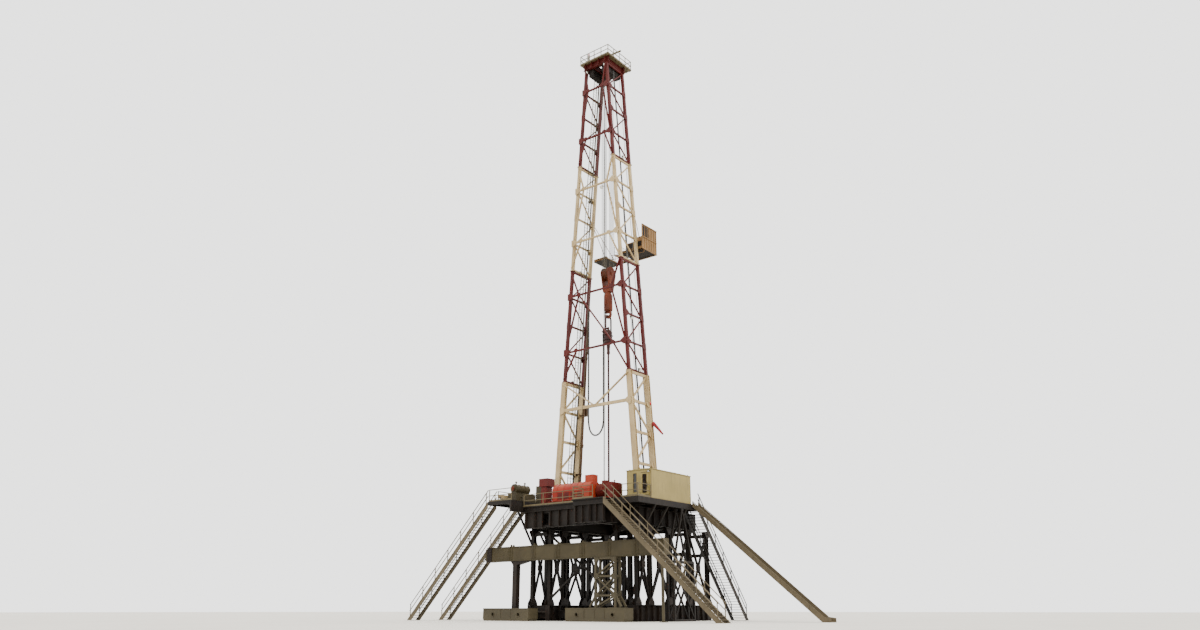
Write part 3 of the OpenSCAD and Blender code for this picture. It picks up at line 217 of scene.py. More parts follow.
coats = {
    # Brown black chassis paint under oil and dust, darkened further as painted shade under the
    # floor: the mass of the rig reads as one dark block.
    "dark_steel": ("chassis black with painted shade", "#0c0704", "#150e07", 0.55, 0.30, 0.35, "#352e25"),
    # The same paint where crews lean and climb: rubbed browner, so edges stand off the mass,
    # and darkened like it as painted shade under the floor.
    "grimy_steel": ("oily girder paint with painted shade", "#120b06", "#1f150c", 0.6, 0.35, 0.4, "#3e362a"),
    # Warning red of the mast, gone to maroon: the strongest colour in the picture.
    "red_oxide": ("red mast enamel", "#3e0805", "#4b0f09", 0.40, 0.08, 0.40),
    # Cream of the mast: warm against the sky, streaked brown below every joint.
    "cream_paint": ("cream mast enamel", "#a8946e", "#907a56", 0.50, 0.30, 0.5),
    # Cabin cream, a shade yellower and cleaner than the mast.
    "house_cream": ("cream cabin enamel", "#867745", "#7a6b3c", 0.35, 0.30, 0.5),
    # Trim of the cabin, where hands and rain have taken it down to tan.
    "cabin_trim": ("handled tan enamel", "#75653d", "#625431", 0.45, 0.3, 0.5),
    # Olive of the cross girder and pump: dull, with dust along every flange.
    "olive_paint": ("olive grey enamel", "#302916", "#3c341f", 0.45, 0.4, 0.4, "#584f3c"),
    # Buff grey of the tower and skids, the palest steel near the ground.
    "skid_grey": ("buff grey enamel", "#383223", "#433c2a", 0.55, 0.4, 0.4, "#695f49"),
    # Zinc of stairs and slide, dusted over until it is nearly the colour of sand.
    "stair_grey": ("dusty galvanised steel", "#4c4331", "#584d3a", 0.35, 0.4, 0.4, "#70654f",
                   "#59442e"),
    # Treads, browned by boots, and darkened as painted shade under each nosing.
    "tread_brown": ("trodden steel with painted shade", "#251d15", "#342b20", 0.5, 0.25, 0.4, "#4c4232"),
    # The standpipe and its fittings: old pipe, more rust than paint.
    "pipe_brown": ("rusted pipe", "#3e2814", "#4e371d", 0.6, 0.2, 0.4),
    # The right stair is painted like the girders, so it stays dark against the sky.
    "stair_dark": ("dark stair paint", "#17130e", "#221c15", 0.5, 0.3, 0.4, "#3e362a"),
    # Small fittings in buff: rails, ladders and feet.
    "rail_buff": ("buff rail enamel", "#5b5139", "#4c432f", 0.5, 0.35, 0.45),
    # Machine red of the drawworks: the brightest patch, at the middle of the floor.
    "machine_red": ("machine red enamel", "#740f05", "#8a2f0e", 0.35, 0.08, 0.45),
    # Older red on motor, doors and console, so the machine isn't one flat block.
    "faded_red": ("sunned red enamel", "#480a05", "#5c160b", 0.5, 0.10, 0.40),
    # Orange of the block and hook, stained brown by the grease of the lines.
    "block_orange": ("block orange enamel", "#612506", "#421705", 0.5, 0.08, 0.45),
    # Bare forged steel under grease: nearly black, with a wet shine.
    "kelly_steel": ("greased forged steel", "#161310", "#221d19", 0.3, 0.1, 0.65),
    # The swivel's brown red, darker than the mast behind it.
    "swivel_brown": ("oiled brown red", "#260904", "#351209", 0.4, 0.1, 0.6),
    # Tan sheet of the board's walls. Near-black for the boards and hollows beside it is painted
    # shade, and so is the near-black of the timbers under the crown.
    "board_tan": ("stained tan enamel", "#7d5e39", "#5f4728", 0.6, 0.3, 0.4),
    "board_dark": ("painted shade black", "#120c09", "#1d140d", 0.5, 0.15, 0.3),
    "timber_in_painted_shade": ("timber painted near-black as shade", "#100b09", "#1c140c", 0.3, 0.2, 0.3),
    # Grey cast housings of the lamps.
    "lamp_grey": ("cast lamp grey", "#26231e", "#312e28", 0.35, 0.35, 0.45),
}
finishes = {name: painted(*coat) for name, coat in coats.items()}
print(len(finishes), "painted finishes")


# %% [markdown]
# ## Wire rope, rubber and cloth
#
# Wire rope is bright steel under black grease, so it reads as dark metal with brown in its
# grooves. The big hose is black rubber over steel cord, chalky from the sun. The windsock is a
# thin woven nylon, faded along its folds. None of the three is one flat colour.

# %% Wire rope, rubber and cloth
def two_tone(name, first, second, size_mm, rough, metal=0.0):
    """A finish of two colours in patches of one size, with the same patches as its relief."""
    finish, tree, place = new_finish(name)
    patches = blotches(tree, place, size_mm, 0.35, 0.65, detail=4.0)
    colour = add_node(tree, "MixRGB", {"Fac": patches, "Color1": first,
                                       "Color2": second}).outputs[0]
    bump = add_node(tree, "Bump", {"Height": patches, "Strength": 0.3, "Distance": 0.003})
    close_finish(tree, Base_Color=colour, Roughness=rough, Metallic=metal,
                 Normal=bump.outputs[0])
    return finish


finishes["wire_rope"] = two_tone("greased wire rope", "#34302b", "#58503f", 40, 0.5, 0.6)
finishes["hose_rubber"] = two_tone("sunned black rubber", "#272624", "#3c3a36", 120, 0.75)
finishes["lamp_lens"] = two_tone("prismatic lamp glass", "#e9e6d8", "#cfd3cf", 30, 0.25)
finishes["red_lens"] = two_tone("red lamp glass", "#b3201a", "#8c1510", 30, 0.25)
# Window glass is near black: painted shade of the dark room behind it.
finishes["window_glass"] = two_tone("window glass painted with room shade", "#0d0e0d", "#1b1a16", 260, 0.5)

finishes["sock_fabric"], sock_tree, sock_place = new_finish("faded red nylon")
weave = add_node(sock_tree, "TexWave", {"Vector": sock_place, "Scale": 260.0, "Distortion": 0.4})
sun_marks = blotches(sock_tree, sock_place, 160, 0.35, 0.7)
sock_colour = add_node(sock_tree, "MixRGB", {"Fac": sun_marks, "Color1": "#6e0a10",
                                             "Color2": "#8c1418"}).outputs[0]
sock_bump = add_node(sock_tree, "Bump", {"Height": weave.outputs[1], "Strength": 0.2,
                                         "Distance": 0.001})
close_finish(sock_tree, Base_Color=sock_colour, Roughness=0.85, Normal=sock_bump.outputs[0],
             Transmission_Weight=0.15)

# %% [markdown]
# ## Painting the steelwork
#
# The record says which finish each part of the frame wears, so the paint shop is one loop. A few
# parts wear an older or dirtier coat of their paint, the stair treads one darkened as painted
# shade, and those are listed by name.

# %% Paint the frame
slots = {part["node"]: part["material_slot"] for part in frame["record"]["subparts"]}
worn_and_shaded = {"racking_board": "board_tan", "swivel_and_kelly": "swivel_brown",
        "rear_stair_treads": "tread_brown", "left_stair_treads": "tread_brown",
        "drawworks_units": "faded_red", "handrails": "rail_buff", "crown_platform": "rail_buff"}
for name, obj in nodes.items():
    obj.data.materials.clear()
    obj.data.materials.append(finishes[worn_and_shaded.get(name, slots[name])])
floor_finish, floor_tree, floor_place = new_finish("pale floor")
floor_shade = blotches(floor_tree, floor_place, 4000, 0.3, 0.7)
floor_colour = add_node(floor_tree, "MixRGB", {"Fac": floor_shade, "Color1": "#cbc6bb",
                                               "Color2": "#d3cec4"}).outputs[0]
close_finish(floor_tree, Base_Color=floor_colour, Roughness=0.9)
floor.data.materials.append(floor_finish)


# %% [markdown]
# ## Shapes from arrays
#
# A rig is made of few kinds of shape, each used a great many times: straight rods, flat bars,
# boxes, bolts and bent tubes. Each function below works out all the corners of a whole batch at
# once as one array, and gives back a shape: the points, and arrays of the faces between them.
# The record has fewer finishes than this scene wears, so each extra one is put down under the
# nearest of the record's own, unless a piece names another.

# %% Shapes from arrays
FULL_TURN = 2 * np.pi
UP, NEAR, FAR, RIGHT = (0, 0, 1), (0, -1, 0), (0, 1, 0), (1, 0, 0)
BOX_CORNERS = [[0, 0, 0], [1, 0, 0], [1, 1, 0], [0, 1, 0],
               [0, 0, 1], [1, 0, 1], [1, 1, 1], [0, 1, 1]]


def points_at(x, y, z):
    """Points from three coordinates, each of them one number or a series."""
    return np.stack(np.broadcast_arrays(x, y, z), -1)


def grid_of(*series):
    """Every combination of the values in the given series, one row each."""
    return np.stack(np.meshgrid(*series, indexing="ij"), -1).reshape(-1, len(series))


def each_with(places, *series):
    """Every place moved by every combination of the values in the series."""
    return (places[:, None] + grid_of(*series)).reshape(-1, 3)


def even_angles(count):
    """The angles of a ring of evenly spaced corners: number k is at k / count of a turn."""
    return FULL_TURN * np.arange(count) / count


def arc_about(axis, turn, wide, tall=None):
    """Points of an ellipse about axis 0, 1 or 2: wide cos t and tall sin t on the other two."""
    flat = np.stack([wide * np.cos(turn), (tall or wide) * np.sin(turn)], -1)
    return np.insert(flat, axis, 0.0, axis=-1)


def unit(vectors):
    """The same directions with a length of 1."""
    vectors = np.asarray(vectors, float)
    return vectors / np.linalg.norm(vectors, axis=-1, keepdims=True)


def square_to(direction):
    """Two unit directions square to each given one, found with cross products."""
    direction = unit(direction)
    helper = np.where(np.abs(direction[..., 2:]) > 0.9, [1.0, 0, 0], [0, 0, 1.0])
    side = unit(np.cross(helper, direction))
    return side, np.cross(direction, side)


def laid_on(section, side, lift):
    """The (across, along) corners of a section, laid out along two directions."""
    return section[:, :1] * side[..., None, :] + section[:, 1:] * lift[..., None, :]


def polygon(sides):
    """The (across, along) corners of a regular polygon with a radius of 1."""
    return arc_about(2, even_angles(sides), 1)[:, :2]


def quads_between(low, high):
    """A quad from each side of the low rings to the same side of the high rings."""
    return np.stack([low, np.roll(low, -1, -1), np.roll(high, -1, -1), high], -1).reshape(-1, 4)


def ring_faces(copies, rings, sides):
    """Quads between neighbouring rings of each copy, and one flat face over each end ring."""
    number = np.arange(copies * rings * sides).reshape(copies, rings, sides)
    return [quads_between(number[:, :-1], number[:, 1:]), number[:, 0, ::-1], number[:, -1]]


def straight(starts, ends, section):
    """Straight bars: the section stands square to each line, at both its ends."""
    starts, ends = np.atleast_2d(starts).astype(float), np.atleast_2d(ends).astype(float)
    corners = laid_on(section, *square_to(ends - starts))
    points = np.stack([starts, ends], 1)[:, :, None] + corners[:, None]
    return points.reshape(-1, 3), ring_faces(len(starts), 2, len(section))


def rods(starts, ends, radius, sides=8):
    """Straight round rods: corner k of the section is at k / sides of a turn."""
    return straight(starts, ends, radius * polygon(sides))


def flats(starts, ends, width, depth):
    """Straight bars with a rectangular section, width across and depth along the lift."""
    quarter = np.array([[1, 1], [-1, 1], [-1, -1], [1, -1]]) / 2
    return straight(starts, ends, quarter * [width, depth])


def boxes(lows, highs):
    """Boxes square to the axes, from their lowest corners to their highest."""
    lows, highs = np.atleast_2d(lows).astype(float), np.atleast_2d(highs).astype(float)
    points = np.where(BOX_CORNERS, highs[:, None], lows[:, None])
    return points.reshape(-1, 3), ring_faces(len(lows), 2, 4)


def blocks(lows, size):
    """Boxes of one size, each placed by its lowest corner."""
    return boxes(lows, np.asarray(lows) + size)


def tube(path, radius, sides, aside=FAR):
    """A bent tube: at each point of the path a ring square to the way the path runs."""
    path = np.asarray(path, float)
    way = unit(np.gradient(path, axis=0))
    side = unit(np.cross(aside, way))
    points = path[:, None] + radius * laid_on(polygon(sides), side, np.cross(way, side))
    return points.reshape(-1, 3), ring_faces(1, len(path), sides)


def turned(profile, base, axis, sides=24):
    """A shape turned on a lathe: each (radius, height) of the profile makes one ring."""
    radius, height = np.array(profile, float).T[:, :, None, None]
    ring = laid_on(polygon(sides), *square_to(axis))
    points = np.array(base) + height * unit(axis) + radius * ring
    return points.reshape(-1, 3), ring_faces(1, len(profile), sides)


def collar(base, axis, inner, outer, start, height, edge, sides):
    """A turned ring whose two edges are taken off, from inner to outer radius."""
    return turned([(inner, start), (outer, start + edge), (outer, start + height - edge),
                   (inner, start + height)], base, axis, sides)


def band(profile, base, axis, sides):
    """A ring with a hole through it: the profile is closed, so each ring joins the next."""
    points, _ = turned(profile, base, axis, sides)
    number = np.arange(len(points)).reshape(-1, sides)
    return points, [quads_between(number, np.roll(number, -1, 0))]


def slabs(outline, origins, across, along, thick):
    """One flat plate cut to an outline, repeated at each origin: thick is its full direction."""
    origins = np.atleast_2d(origins)
    face = np.array(outline, float) @ np.array([across, along], float)
    if np.dot(np.cross(across, along), thick) < 0:
        face = face[::-1]
    points = origins[:, None, None] + np.stack([face, face + thick])
    return points.reshape(-1, 3), ring_faces(len(origins), 2, len(outline))


def bolt_heads(places, axis, radius=0.011, height=0.012):
    """A hexagonal head at each place, standing along the axis."""
    return rods(places, places + np.array(axis, float) * height, radius, 6)


def piece(name, shapes, finish, body="rig", smooth=False, rounded=0.0):
    """Joins shapes into one object in a finish, and lets it ride on a body."""
    start, points, faces = 0, [], []
    for shape_points, shape_faces in shapes:
        points.append(shape_points)
        faces += [row for block in shape_faces for row in (block + start).tolist()]
        start += len(shape_points)
    mesh = bpy.data.meshes.new(name)
    mesh.from_pydata(np.concatenate(points).tolist(), [], faces)
    mesh.materials.append(finishes[finish])
    if smooth:
        mesh.polygons.foreach_set("use_smooth", [len(face) == 4 for face in faces])
    made = bpy.data.objects.new(name, mesh)
    bpy.context.scene.collection.objects.link(made)
    if rounded:
        bevel = made.modifiers.new("worn edges", "BEVEL")
        bevel.width, bevel.segments, bevel.limit_method = rounded, 2, "ANGLE"
    if body:
        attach(made, body)
    print(name, "has", len(faces), "faces in", finish)
    return made


# %% [markdown]
# ## The lines of the mast
#
# The mast narrows evenly, so one straight-line formula gives its half width at any height, and
# the levels of its bays are an even series. Everything that hangs on the mast is placed by them.

# %% Lines of the mast
DECK, SIDE_DECK = 4.8, 5.05
FOOT, TOP, BAY = 5.15, 27.742, 1.412
FOOT_HALF, TOP_HALF = 2.325, 0.662
LEAN = (TOP_HALF - FOOT_HALF) / (TOP - FOOT)
LEG_Y = (-0.95, 0.40)
HANDS = (-1, 1)  # the left leg and the right, or any other two sides that mirror each other
levels = FOOT + BAY * np.arange(17)


def half_width(z):
    """Half the distance between the legs at a height: a straight line from foot to top."""
    return FOOT_HALF + (np.asarray(z, float) - FOOT) * LEAN


def on_leg(hand, y, z, out=0.0):
    """The point at a height on the left (-1) or right (1) leg, moved out from it."""
    return points_at(hand * (half_width(z) + out), y, z)


print("the mast is", round(2 * FOOT_HALF, 2), "m wide at its feet and",
      round(2 * TOP_HALF, 2), "m at the crown")

# %% [markdown]
# ## Ropes
#
# Ten lines run from the crown to the block, and each of the five sheaves turns its line round
# half a circle. The lines stretch between the two bodies, so they have rings at their ends alone.

# %% Ropes
SHEAVE_X = (np.arange(5) - 2) * 0.070
SHEAVE_R, CROWN_Z, BLOCK_Z = 0.30, 27.892, 16.2
rope_feet = grid_of(SHEAVE_X, [-SHEAVE_R, SHEAVE_R], BLOCK_Z)
rope_heads = rope_feet + [0, 0, CROWN_Z - BLOCK_Z]
ropes = piece("drilling_ropes", [rods(rope_feet, rope_heads, 0.0115, 10)], "wire_rope", body=None)
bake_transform(ropes)
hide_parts("drill_lines")

half_round = arc_about(0, np.linspace(0, np.pi, 25), SHEAVE_R)
piece("ropes_over_crown",
      [tube(half_round + [x, 0, CROWN_Z], 0.010, 8, RIGHT) for x in SHEAVE_X],
      "wire_rope", smooth=True)
piece("ropes_under_block",
      [tube(half_round * [1, 1, -1] + [x, 0, BLOCK_Z], 0.010, 8, RIGHT) for x in SHEAVE_X],
      "wire_rope", body="travelling_gear", smooth=True)

fast_line = [[-0.235, -1.9397, 5.36], [-0.235, -0.20, 27.74]]
dead_line = [[1.780, 0.25, 4.801], [0.235, 0.25, 27.74]]
hoist_foot, hoist_head = np.array([[-0.55, 0.36, 4.801], [-0.47, 0.36, 27.74]])
side_by_side = points_at([0, 0.030, -0.030], 0, 0)
fixed = piece("fixed_ropes", [rods(*zip(fast_line, dead_line), 0.010, 10),
                              rods(hoist_foot + side_by_side, hoist_head + side_by_side,
                                   0.009, 10)], "wire_rope", smooth=True)
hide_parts("fixed_lines")

# %% [markdown]
# ## The rotary hose
#
# Mud goes up the standpipe and through this hose to the swivel. It hangs in a long loop, clear
# of the mast, and its bottom is a near half circle because it is stiff. When the block travels,
# the bottom moves half as far. The hose is made as two lengths that meet at the bottom.

# %% Rotary hose
HOSE_TOP, HOSE_END = (-1.3, 0.1, 14.56), (-0.3, 0, 13.1)
HOSE_STEPS = 6


def smooth_route(corners, steps):
    """A curve through each corner: between two of them a cubic whose slopes follow their sides."""
    p = np.array(corners, float)
    p = np.vstack([2 * p[0] - p[1], p, 2 * p[-1] - p[-2]])
    a, b, c, d = p[:-3, None], p[1:-2, None], p[2:-1, None], p[3:, None]
    t = (np.arange(steps) / steps)[None, :, None]
    curve = 0.5 * (2 * b + (c - a) * t + (2 * a - 5 * b + 4 * c - d) * t ** 2
                   + (3 * b - a - 3 * c + d) * t ** 3)
    return np.vstack([curve.reshape(-1, 3), p[-2:-1]])


down_run = [(-1.3, 0.1, z) for z in (14.1, 13.4, 12.7, 12.0, 11.3, 10.6, 9.9)]
hanging_bend = [(-1.295, 0.095, 9.3), (-1.27, 0.09, 8.9), (-1.18, 0.08, 8.55),
                (-1.0, 0.065, 8.33), (-0.79, 0.05, 8.265), (-0.58, 0.035, 8.33),
                (-0.4, 0.025, 8.55), (-0.315, 0.015, 8.9), (-0.3, 0.005, 9.3)]
up_run = [(-0.3, 0, z) for z in (9.9, 10.6, 11.3, 12.0, 12.6)]
hose_path = smooth_route([HOSE_TOP] + down_run + hanging_bend + up_run + [HOSE_END], HOSE_STEPS)
bottom = HOSE_STEPS * 12
halves = {"hose_from_standpipe": hose_path[:bottom + 1], "hose_to_swivel": hose_path[bottom:]}
hose = {}
for name, path in halves.items():
    hose[name] = piece(name, [tube(path, 0.040, 20)], "hose_rubber", body=None, smooth=True)
    run = float(np.linalg.norm(np.diff(path, axis=0), axis=1).sum())
    print(name, round(run, 2), "m")
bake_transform(hose["hose_from_standpipe"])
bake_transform(hose["hose_to_swivel"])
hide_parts("rotary_hose")

hose_end = [(0.041, -0.30), (0.052, -0.29), (0.052, -0.02), (0.062, 0.0), (0.062, 0.05),
            (0.047, 0.06)]
for name, place, body in (("hose_collar_top", HOSE_TOP, "rig"),
                          ("hose_collar_swivel", HOSE_END, "travelling_gear")):
    piece(name, [turned(hose_end, place, UP)], "kelly_steel", body=body, smooth=True,
          rounded=0.003)

# %% [markdown]
# ## Standpipe
#
# The standpipe is heavy wall tube with screwed unions. It climbs just inside the left leg and
# ends in a gooseneck, which turns the hose down. Strap clamps hold it to the girts of the mast.

# %% Standpipe
pipe_foot, pipe_head = np.array([[-1.99, 0.26, 4.81], [-1.455, 0.26, 14.35]])
along = unit(pipe_head - pipe_foot)
neck_turn = np.linspace(0, np.pi, 17)[:, None]
neck = (np.array([-1.365, 0.18, 14.62]) - np.cos(neck_turn) * [0.065, -0.08, 0]
        + np.sin(neck_turn) * [0, 0, 0.21])
pipe_path = np.vstack([np.linspace(pipe_foot, pipe_head, 5), neck, [[-1.3, 0.1, 14.57]]])


def on_pipe(z):
    """The points at these heights on the straight part of the pipe."""
    return points_at(np.interp(z, [pipe_foot[2], pipe_head[2]], [pipe_foot[0], pipe_head[0]]),
                     0.26, z)


clamps = on_pipe(levels[[1, 3, 5]])
leg_side = points_at(0.044 - half_width(clamps[:, 2]), 0.26, clamps[:, 2])
union = [(0.056, -0.09), (0.075, -0.08), (0.075, -0.02), (0.085, -0.01), (0.085, 0.06),
         (0.056, 0.08)]
standpipe = piece("standpipe_tube",
                  [tube(pipe_path, 0.055, 16, (0.3, 1, 0)),
                   turned([(0.085, 0), (0.085, 0.024), (0.058, 0.026), (0.058, 0.05)],
                          (-1.99, 0.26, DECK), UP)]
                  + [turned(union, on_pipe(z), along) for z in (5.6, 7.9, 10.2, 12.5)]
                  + [flats(clamps, leg_side, 0.06, 0.06),
                     rods(clamps - along * 0.045, clamps + along * 0.045, 0.066, 16)],
                  "pipe_brown", smooth=True)
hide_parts("standpipe")

# %% [markdown]
# ## Windsock
#
# The sock is a sleeve of thin nylon, cut as a cone and open at both ends. A wire ring holds its
# mouth, and in this light air the rest hangs from it in shallow folds.

# %% Windsock
SOCK_Z, SOCK_L, SOCK_SIDES = 8.4, 0.78, 40
MOUTH_R, TAIL_R, SAG = 0.085, 0.040, 0.05
leg_x = half_width(SOCK_Z) + 0.074
arm_x = leg_x + 0.100
mouth = np.array([arm_x, 0.40, SOCK_Z + 0.10])
tilt, swing = math.radians(132), math.radians(-10)
sock_way = np.array([math.sin(tilt) * math.cos(swing), math.sin(tilt) * math.sin(swing),
                     math.cos(tilt)])
sock_ring = laid_on(polygon(SOCK_SIDES), *square_to(sock_way))
share = np.linspace(0, 1, 26)[:, None]
folds = 1 + 0.035 * share * np.sin(5 * even_angles(SOCK_SIDES) + 9 * SOCK_L * share)
sock_radius = (MOUTH_R - (MOUTH_R - TAIL_R) * share) * folds
sock_points = (mouth + SOCK_L * share[..., None] * sock_way + sock_radius[..., None] * sock_ring
               - SAG * share[..., None] ** 2 * UP)
number = np.arange(sock_radius.size).reshape(sock_radius.shape)
sock = piece("windsock_cloth",
             [(sock_points.reshape(-1, 3), [quads_between(number[:-1], number[1:])])],
             "sock_fabric", smooth=True)
hoop = mouth + (MOUTH_R + 0.0005) * np.vstack([sock_ring, sock_ring[:1]])
arm = piece("windsock_arm",
            [tube(hoop, 0.004, 8, sock_way),
             tube([[leg_x, 0.40, SOCK_Z - 0.02], [leg_x + 0.05, 0.40, SOCK_Z - 0.01],
                   [arm_x, 0.40, SOCK_Z]], 0.012, 10),
             rods([arm_x, 0.40, SOCK_Z - 0.03], [arm_x, 0.40, SOCK_Z + 0.2], 0.008),
             boxes([leg_x - 0.004, 0.35, SOCK_Z - 0.06], [leg_x + 0.008, 0.45, SOCK_Z + 0.06])],
            "machine_red", smooth=True)
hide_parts("windsock")

# %% [markdown]
# ## Gussets, splices and bolts
#
# Where a girt meets a leg the welder lays a flat plate over both, so that the load has a wide
# road to go by. Where two sections meet, four bolts a leg pull their flanges together. A plate
# is one outline used many times over, and a bolt head is a rod with six sides.

# %% Gussets, splices and bolts
corner_plate = [(-0.075, -0.17), (0.075, -0.17), (0.25, -0.05), (0.25, 0.05), (0.075, 0.17),
                (-0.075, 0.17)]
knee_plate = [(-0.13, -0.06), (0.13, -0.06), (0.13, 0.05), (0.05, 0.12), (-0.05, 0.12),
              (-0.13, 0.05)]
REAR_FACE = LEG_Y[0] - 0.148


def mast_plates(section):
    """Plates and bolt heads over the joints of one section, on its side and rear faces."""
    shapes = []
    first = 4 * section + 1
    z = levels[first:first + 3]
    for hand in HANDS:
        for toward, y in ((1, LEG_Y[0]), (-1, LEG_Y[1])):
            origins = on_leg(hand, y, z, 0.068)
            heads = each_with(origins, hand * 0.012, [toward * 0.03, toward * 0.19],
                              [-0.03, 0.03])
            shapes += [slabs(corner_plate, origins, (0, toward, 0), (hand * LEAN, 0, 1),
                             (hand * 0.014, 0, 0)),
                       bolt_heads(heads, (hand, 0, 0))]
        for height in levels[first + 2 if section == 0 else first:first + 3:2]:
            corner = on_leg(hand, REAR_FACE, height)
            heads = corner + grid_of([-hand * 0.03, -hand * 0.19], -0.012, [-0.03, 0.03])
            shapes += [slabs(corner_plate, corner, (-hand, 0, 0), UP, (0, -0.014, 0)),
                       bolt_heads(heads, NEAR)]
            if section:
                knee = corner * [0.62, 1, 1]
                heads = knee + grid_of([-0.06, 0.06], -0.010, [-0.02, 0.04])
                shapes += [slabs(knee_plate, knee, RIGHT, UP, (0, -0.012, 0)),
                           bolt_heads(heads, NEAR)]
    return shapes


for section, paint in enumerate(("cream_paint", "red_oxide", "cream_paint", "red_oxide")):
    piece(f"mast_plates_{section + 1}", mast_plates(section), paint)

joints = np.concatenate([on_leg(hand, y, levels[[4, 8, 12]]) for hand in HANDS for y in LEG_Y])
bolts = each_with(joints, [-0.084, 0.084], [-0.084, 0.084], -0.045)
piece("splice_bolts", [rods(bolts, bolts + [0, 0, 0.09], 0.0125, 6)], "kelly_steel")

# %% [markdown]
# ## Ladder, cables and lamps on the mast
#
# The derrickman climbs a caged ladder inside the left truss. Beside it run the cables for the
# crown lamps, and more cables go up the right truss. Floodlights hang where the legs are joined.

# %% Ladder, cables and lamps
LADDER_Y = -0.28
rung = on_leg(-1, LADDER_Y, np.arange(5.0, 27.6, 0.15), -0.11)
rail_low, rail_high = on_leg(-1, LADDER_Y, [4.82, 27.7], -0.11)
hoop_arc = arc_about(2, np.linspace(-0.5 * np.pi, 0.5 * np.pi, 9), 0.19, 0.15)
brackets = on_leg(-1, LADDER_Y, levels[1:16])
ladder = [rods(rung - [0, 0.11, 0], rung + [0, 0.11, 0], 0.008, 6)]
for dy in (-0.115, 0.115):
    ladder += [flats(rail_low + [0, dy, 0], rail_high + [0, dy, 0], 0.010, 0.036),
               flats(brackets + [0, dy, 0], brackets + [0.11, dy, 0], 0.03, 0.01)]
ladder += [tube(hoop_arc + on_leg(-1, LADDER_Y, z, -0.11), 0.007, 5, UP)
           for z in np.arange(6.3, 27.0, 0.62)]
ladder += [rods(rail_low + offset + [LEAN * -1.4, 0, 1.4], rail_high + offset - [0, 0, 0.6],
                0.007, 5) for offset in ([0.19, 0, 0], [0.13, 0.11, 0], [0.13, -0.11, 0])]
piece("mast_ladder", ladder, "rail_buff")

runs = [(-1, 0.015, 0.016), (-1, 0.055, 0.012), (-1, 0.09, 0.010), (1, -0.30, 0.020),
        (1, -0.25, 0.014), (1, -0.215, 0.010), (1, 0.22, 0.012)]
piece("mast_cables",
      [rods(*on_leg(hand, y, [4.81, 27.6], -0.075), radius, 8) for hand, y, radius in runs],
      "hose_rubber", smooth=True)
piece("cable_clips",
      [blocks(on_leg(hand, y, levels[1:16], -0.065) - [0.034, 0, 0.012], [0.068, reach, 0.024])
       for hand, y, reach in ((-1, -0.005, 0.11), (1, -0.325, 0.125))], "stair_grey")


def floodlight(place, facing, size=1.0):
    """A lamp: a spun housing and its lens along the way it faces, and the yoke that holds it."""
    facing, place = unit(facing), np.array(place, float)
    shell = [(0.020, -0.100), (0.045, -0.095), (0.055, -0.050), (0.085, 0.010), (0.092, 0.014),
             (0.092, 0.034), (0.080, 0.036)]
    glass = [(0.079, 0.030), (0.079, 0.039), (0.050, 0.046)]
    side, _ = square_to(facing)
    turn = np.linspace(0, np.pi, 9)[:, None]
    yoke = place + size * (0.105 * np.cos(turn) * side - 0.125 * np.sin(turn) * facing)
    housing = [turned(np.array(shell) * size, place, facing, 20),
               tube(yoke, 0.008 * size, 6, np.cross(side, facing))]
    return housing, turned(np.array(glass) * size, place, facing, 20)


def by_leg(hand, level, out, y, rise, drop):
    """A lamp beside a leg: its place, the way it faces, and the root of its stalk."""
    z = levels[level]
    return (on_leg(hand, y, z, out) + [0, 0, rise], (hand * 0.7, 0, -0.7),
            on_leg(hand, y, z) - [0, 0, drop])


lamp_places = [((0.44, -1.08, levels[11] - 0.24), (0.1, -0.6, -0.8),
                (0.44, -1.06, levels[11] - 0.03)),
               by_leg(-1, 11, 0.06, 0.02, -0.16, 0.03), by_leg(1, 6, 0.12, -0.57, -0.20, 0.03)]
lamp_places += [by_leg(hand, level, 0.13, -0.28, 0.12, 0.05)
                for hand, level in ((1, 12), (-1, 8), (-1, 4), (1, 4))]
lamp_places += [((hand * 0.60, -1.00, 27.58), (hand * 0.3, -0.6, -0.7),
                 (hand * 0.60, -0.97, 27.75)) for hand in HANDS]
lamp_places += [((-2.75, -1.07, 5.985), (0.5, 0.3, -0.75), (-2.75, -1.07, 5.88))]
housings, lenses = zip(*[floodlight(place, facing) for place, facing, _ in lamp_places])
stalks = [rods(place - 0.115 * unit(facing), root, 0.010, 6)
          for place, facing, root in lamp_places]
piece("mast_lamps", sum(housings, []) + stalks, "lamp_grey", smooth=True)
piece("mast_lamp_lenses", lenses, "lamp_lens", smooth=True)

# %% [markdown]
# ## The crown
#
# Timbers under the crown beams stop a block that is pulled too high; their near-black is painted
# shade of the crown's underside. Above them are the bearing caps of the sheave shaft, a guard that
# keeps the ropes in their grooves, and a red beacon.

# %% Crown
timbers = grid_of([-0.585, 0.275], -0.86 + 0.21 * np.arange(6), 27.36)
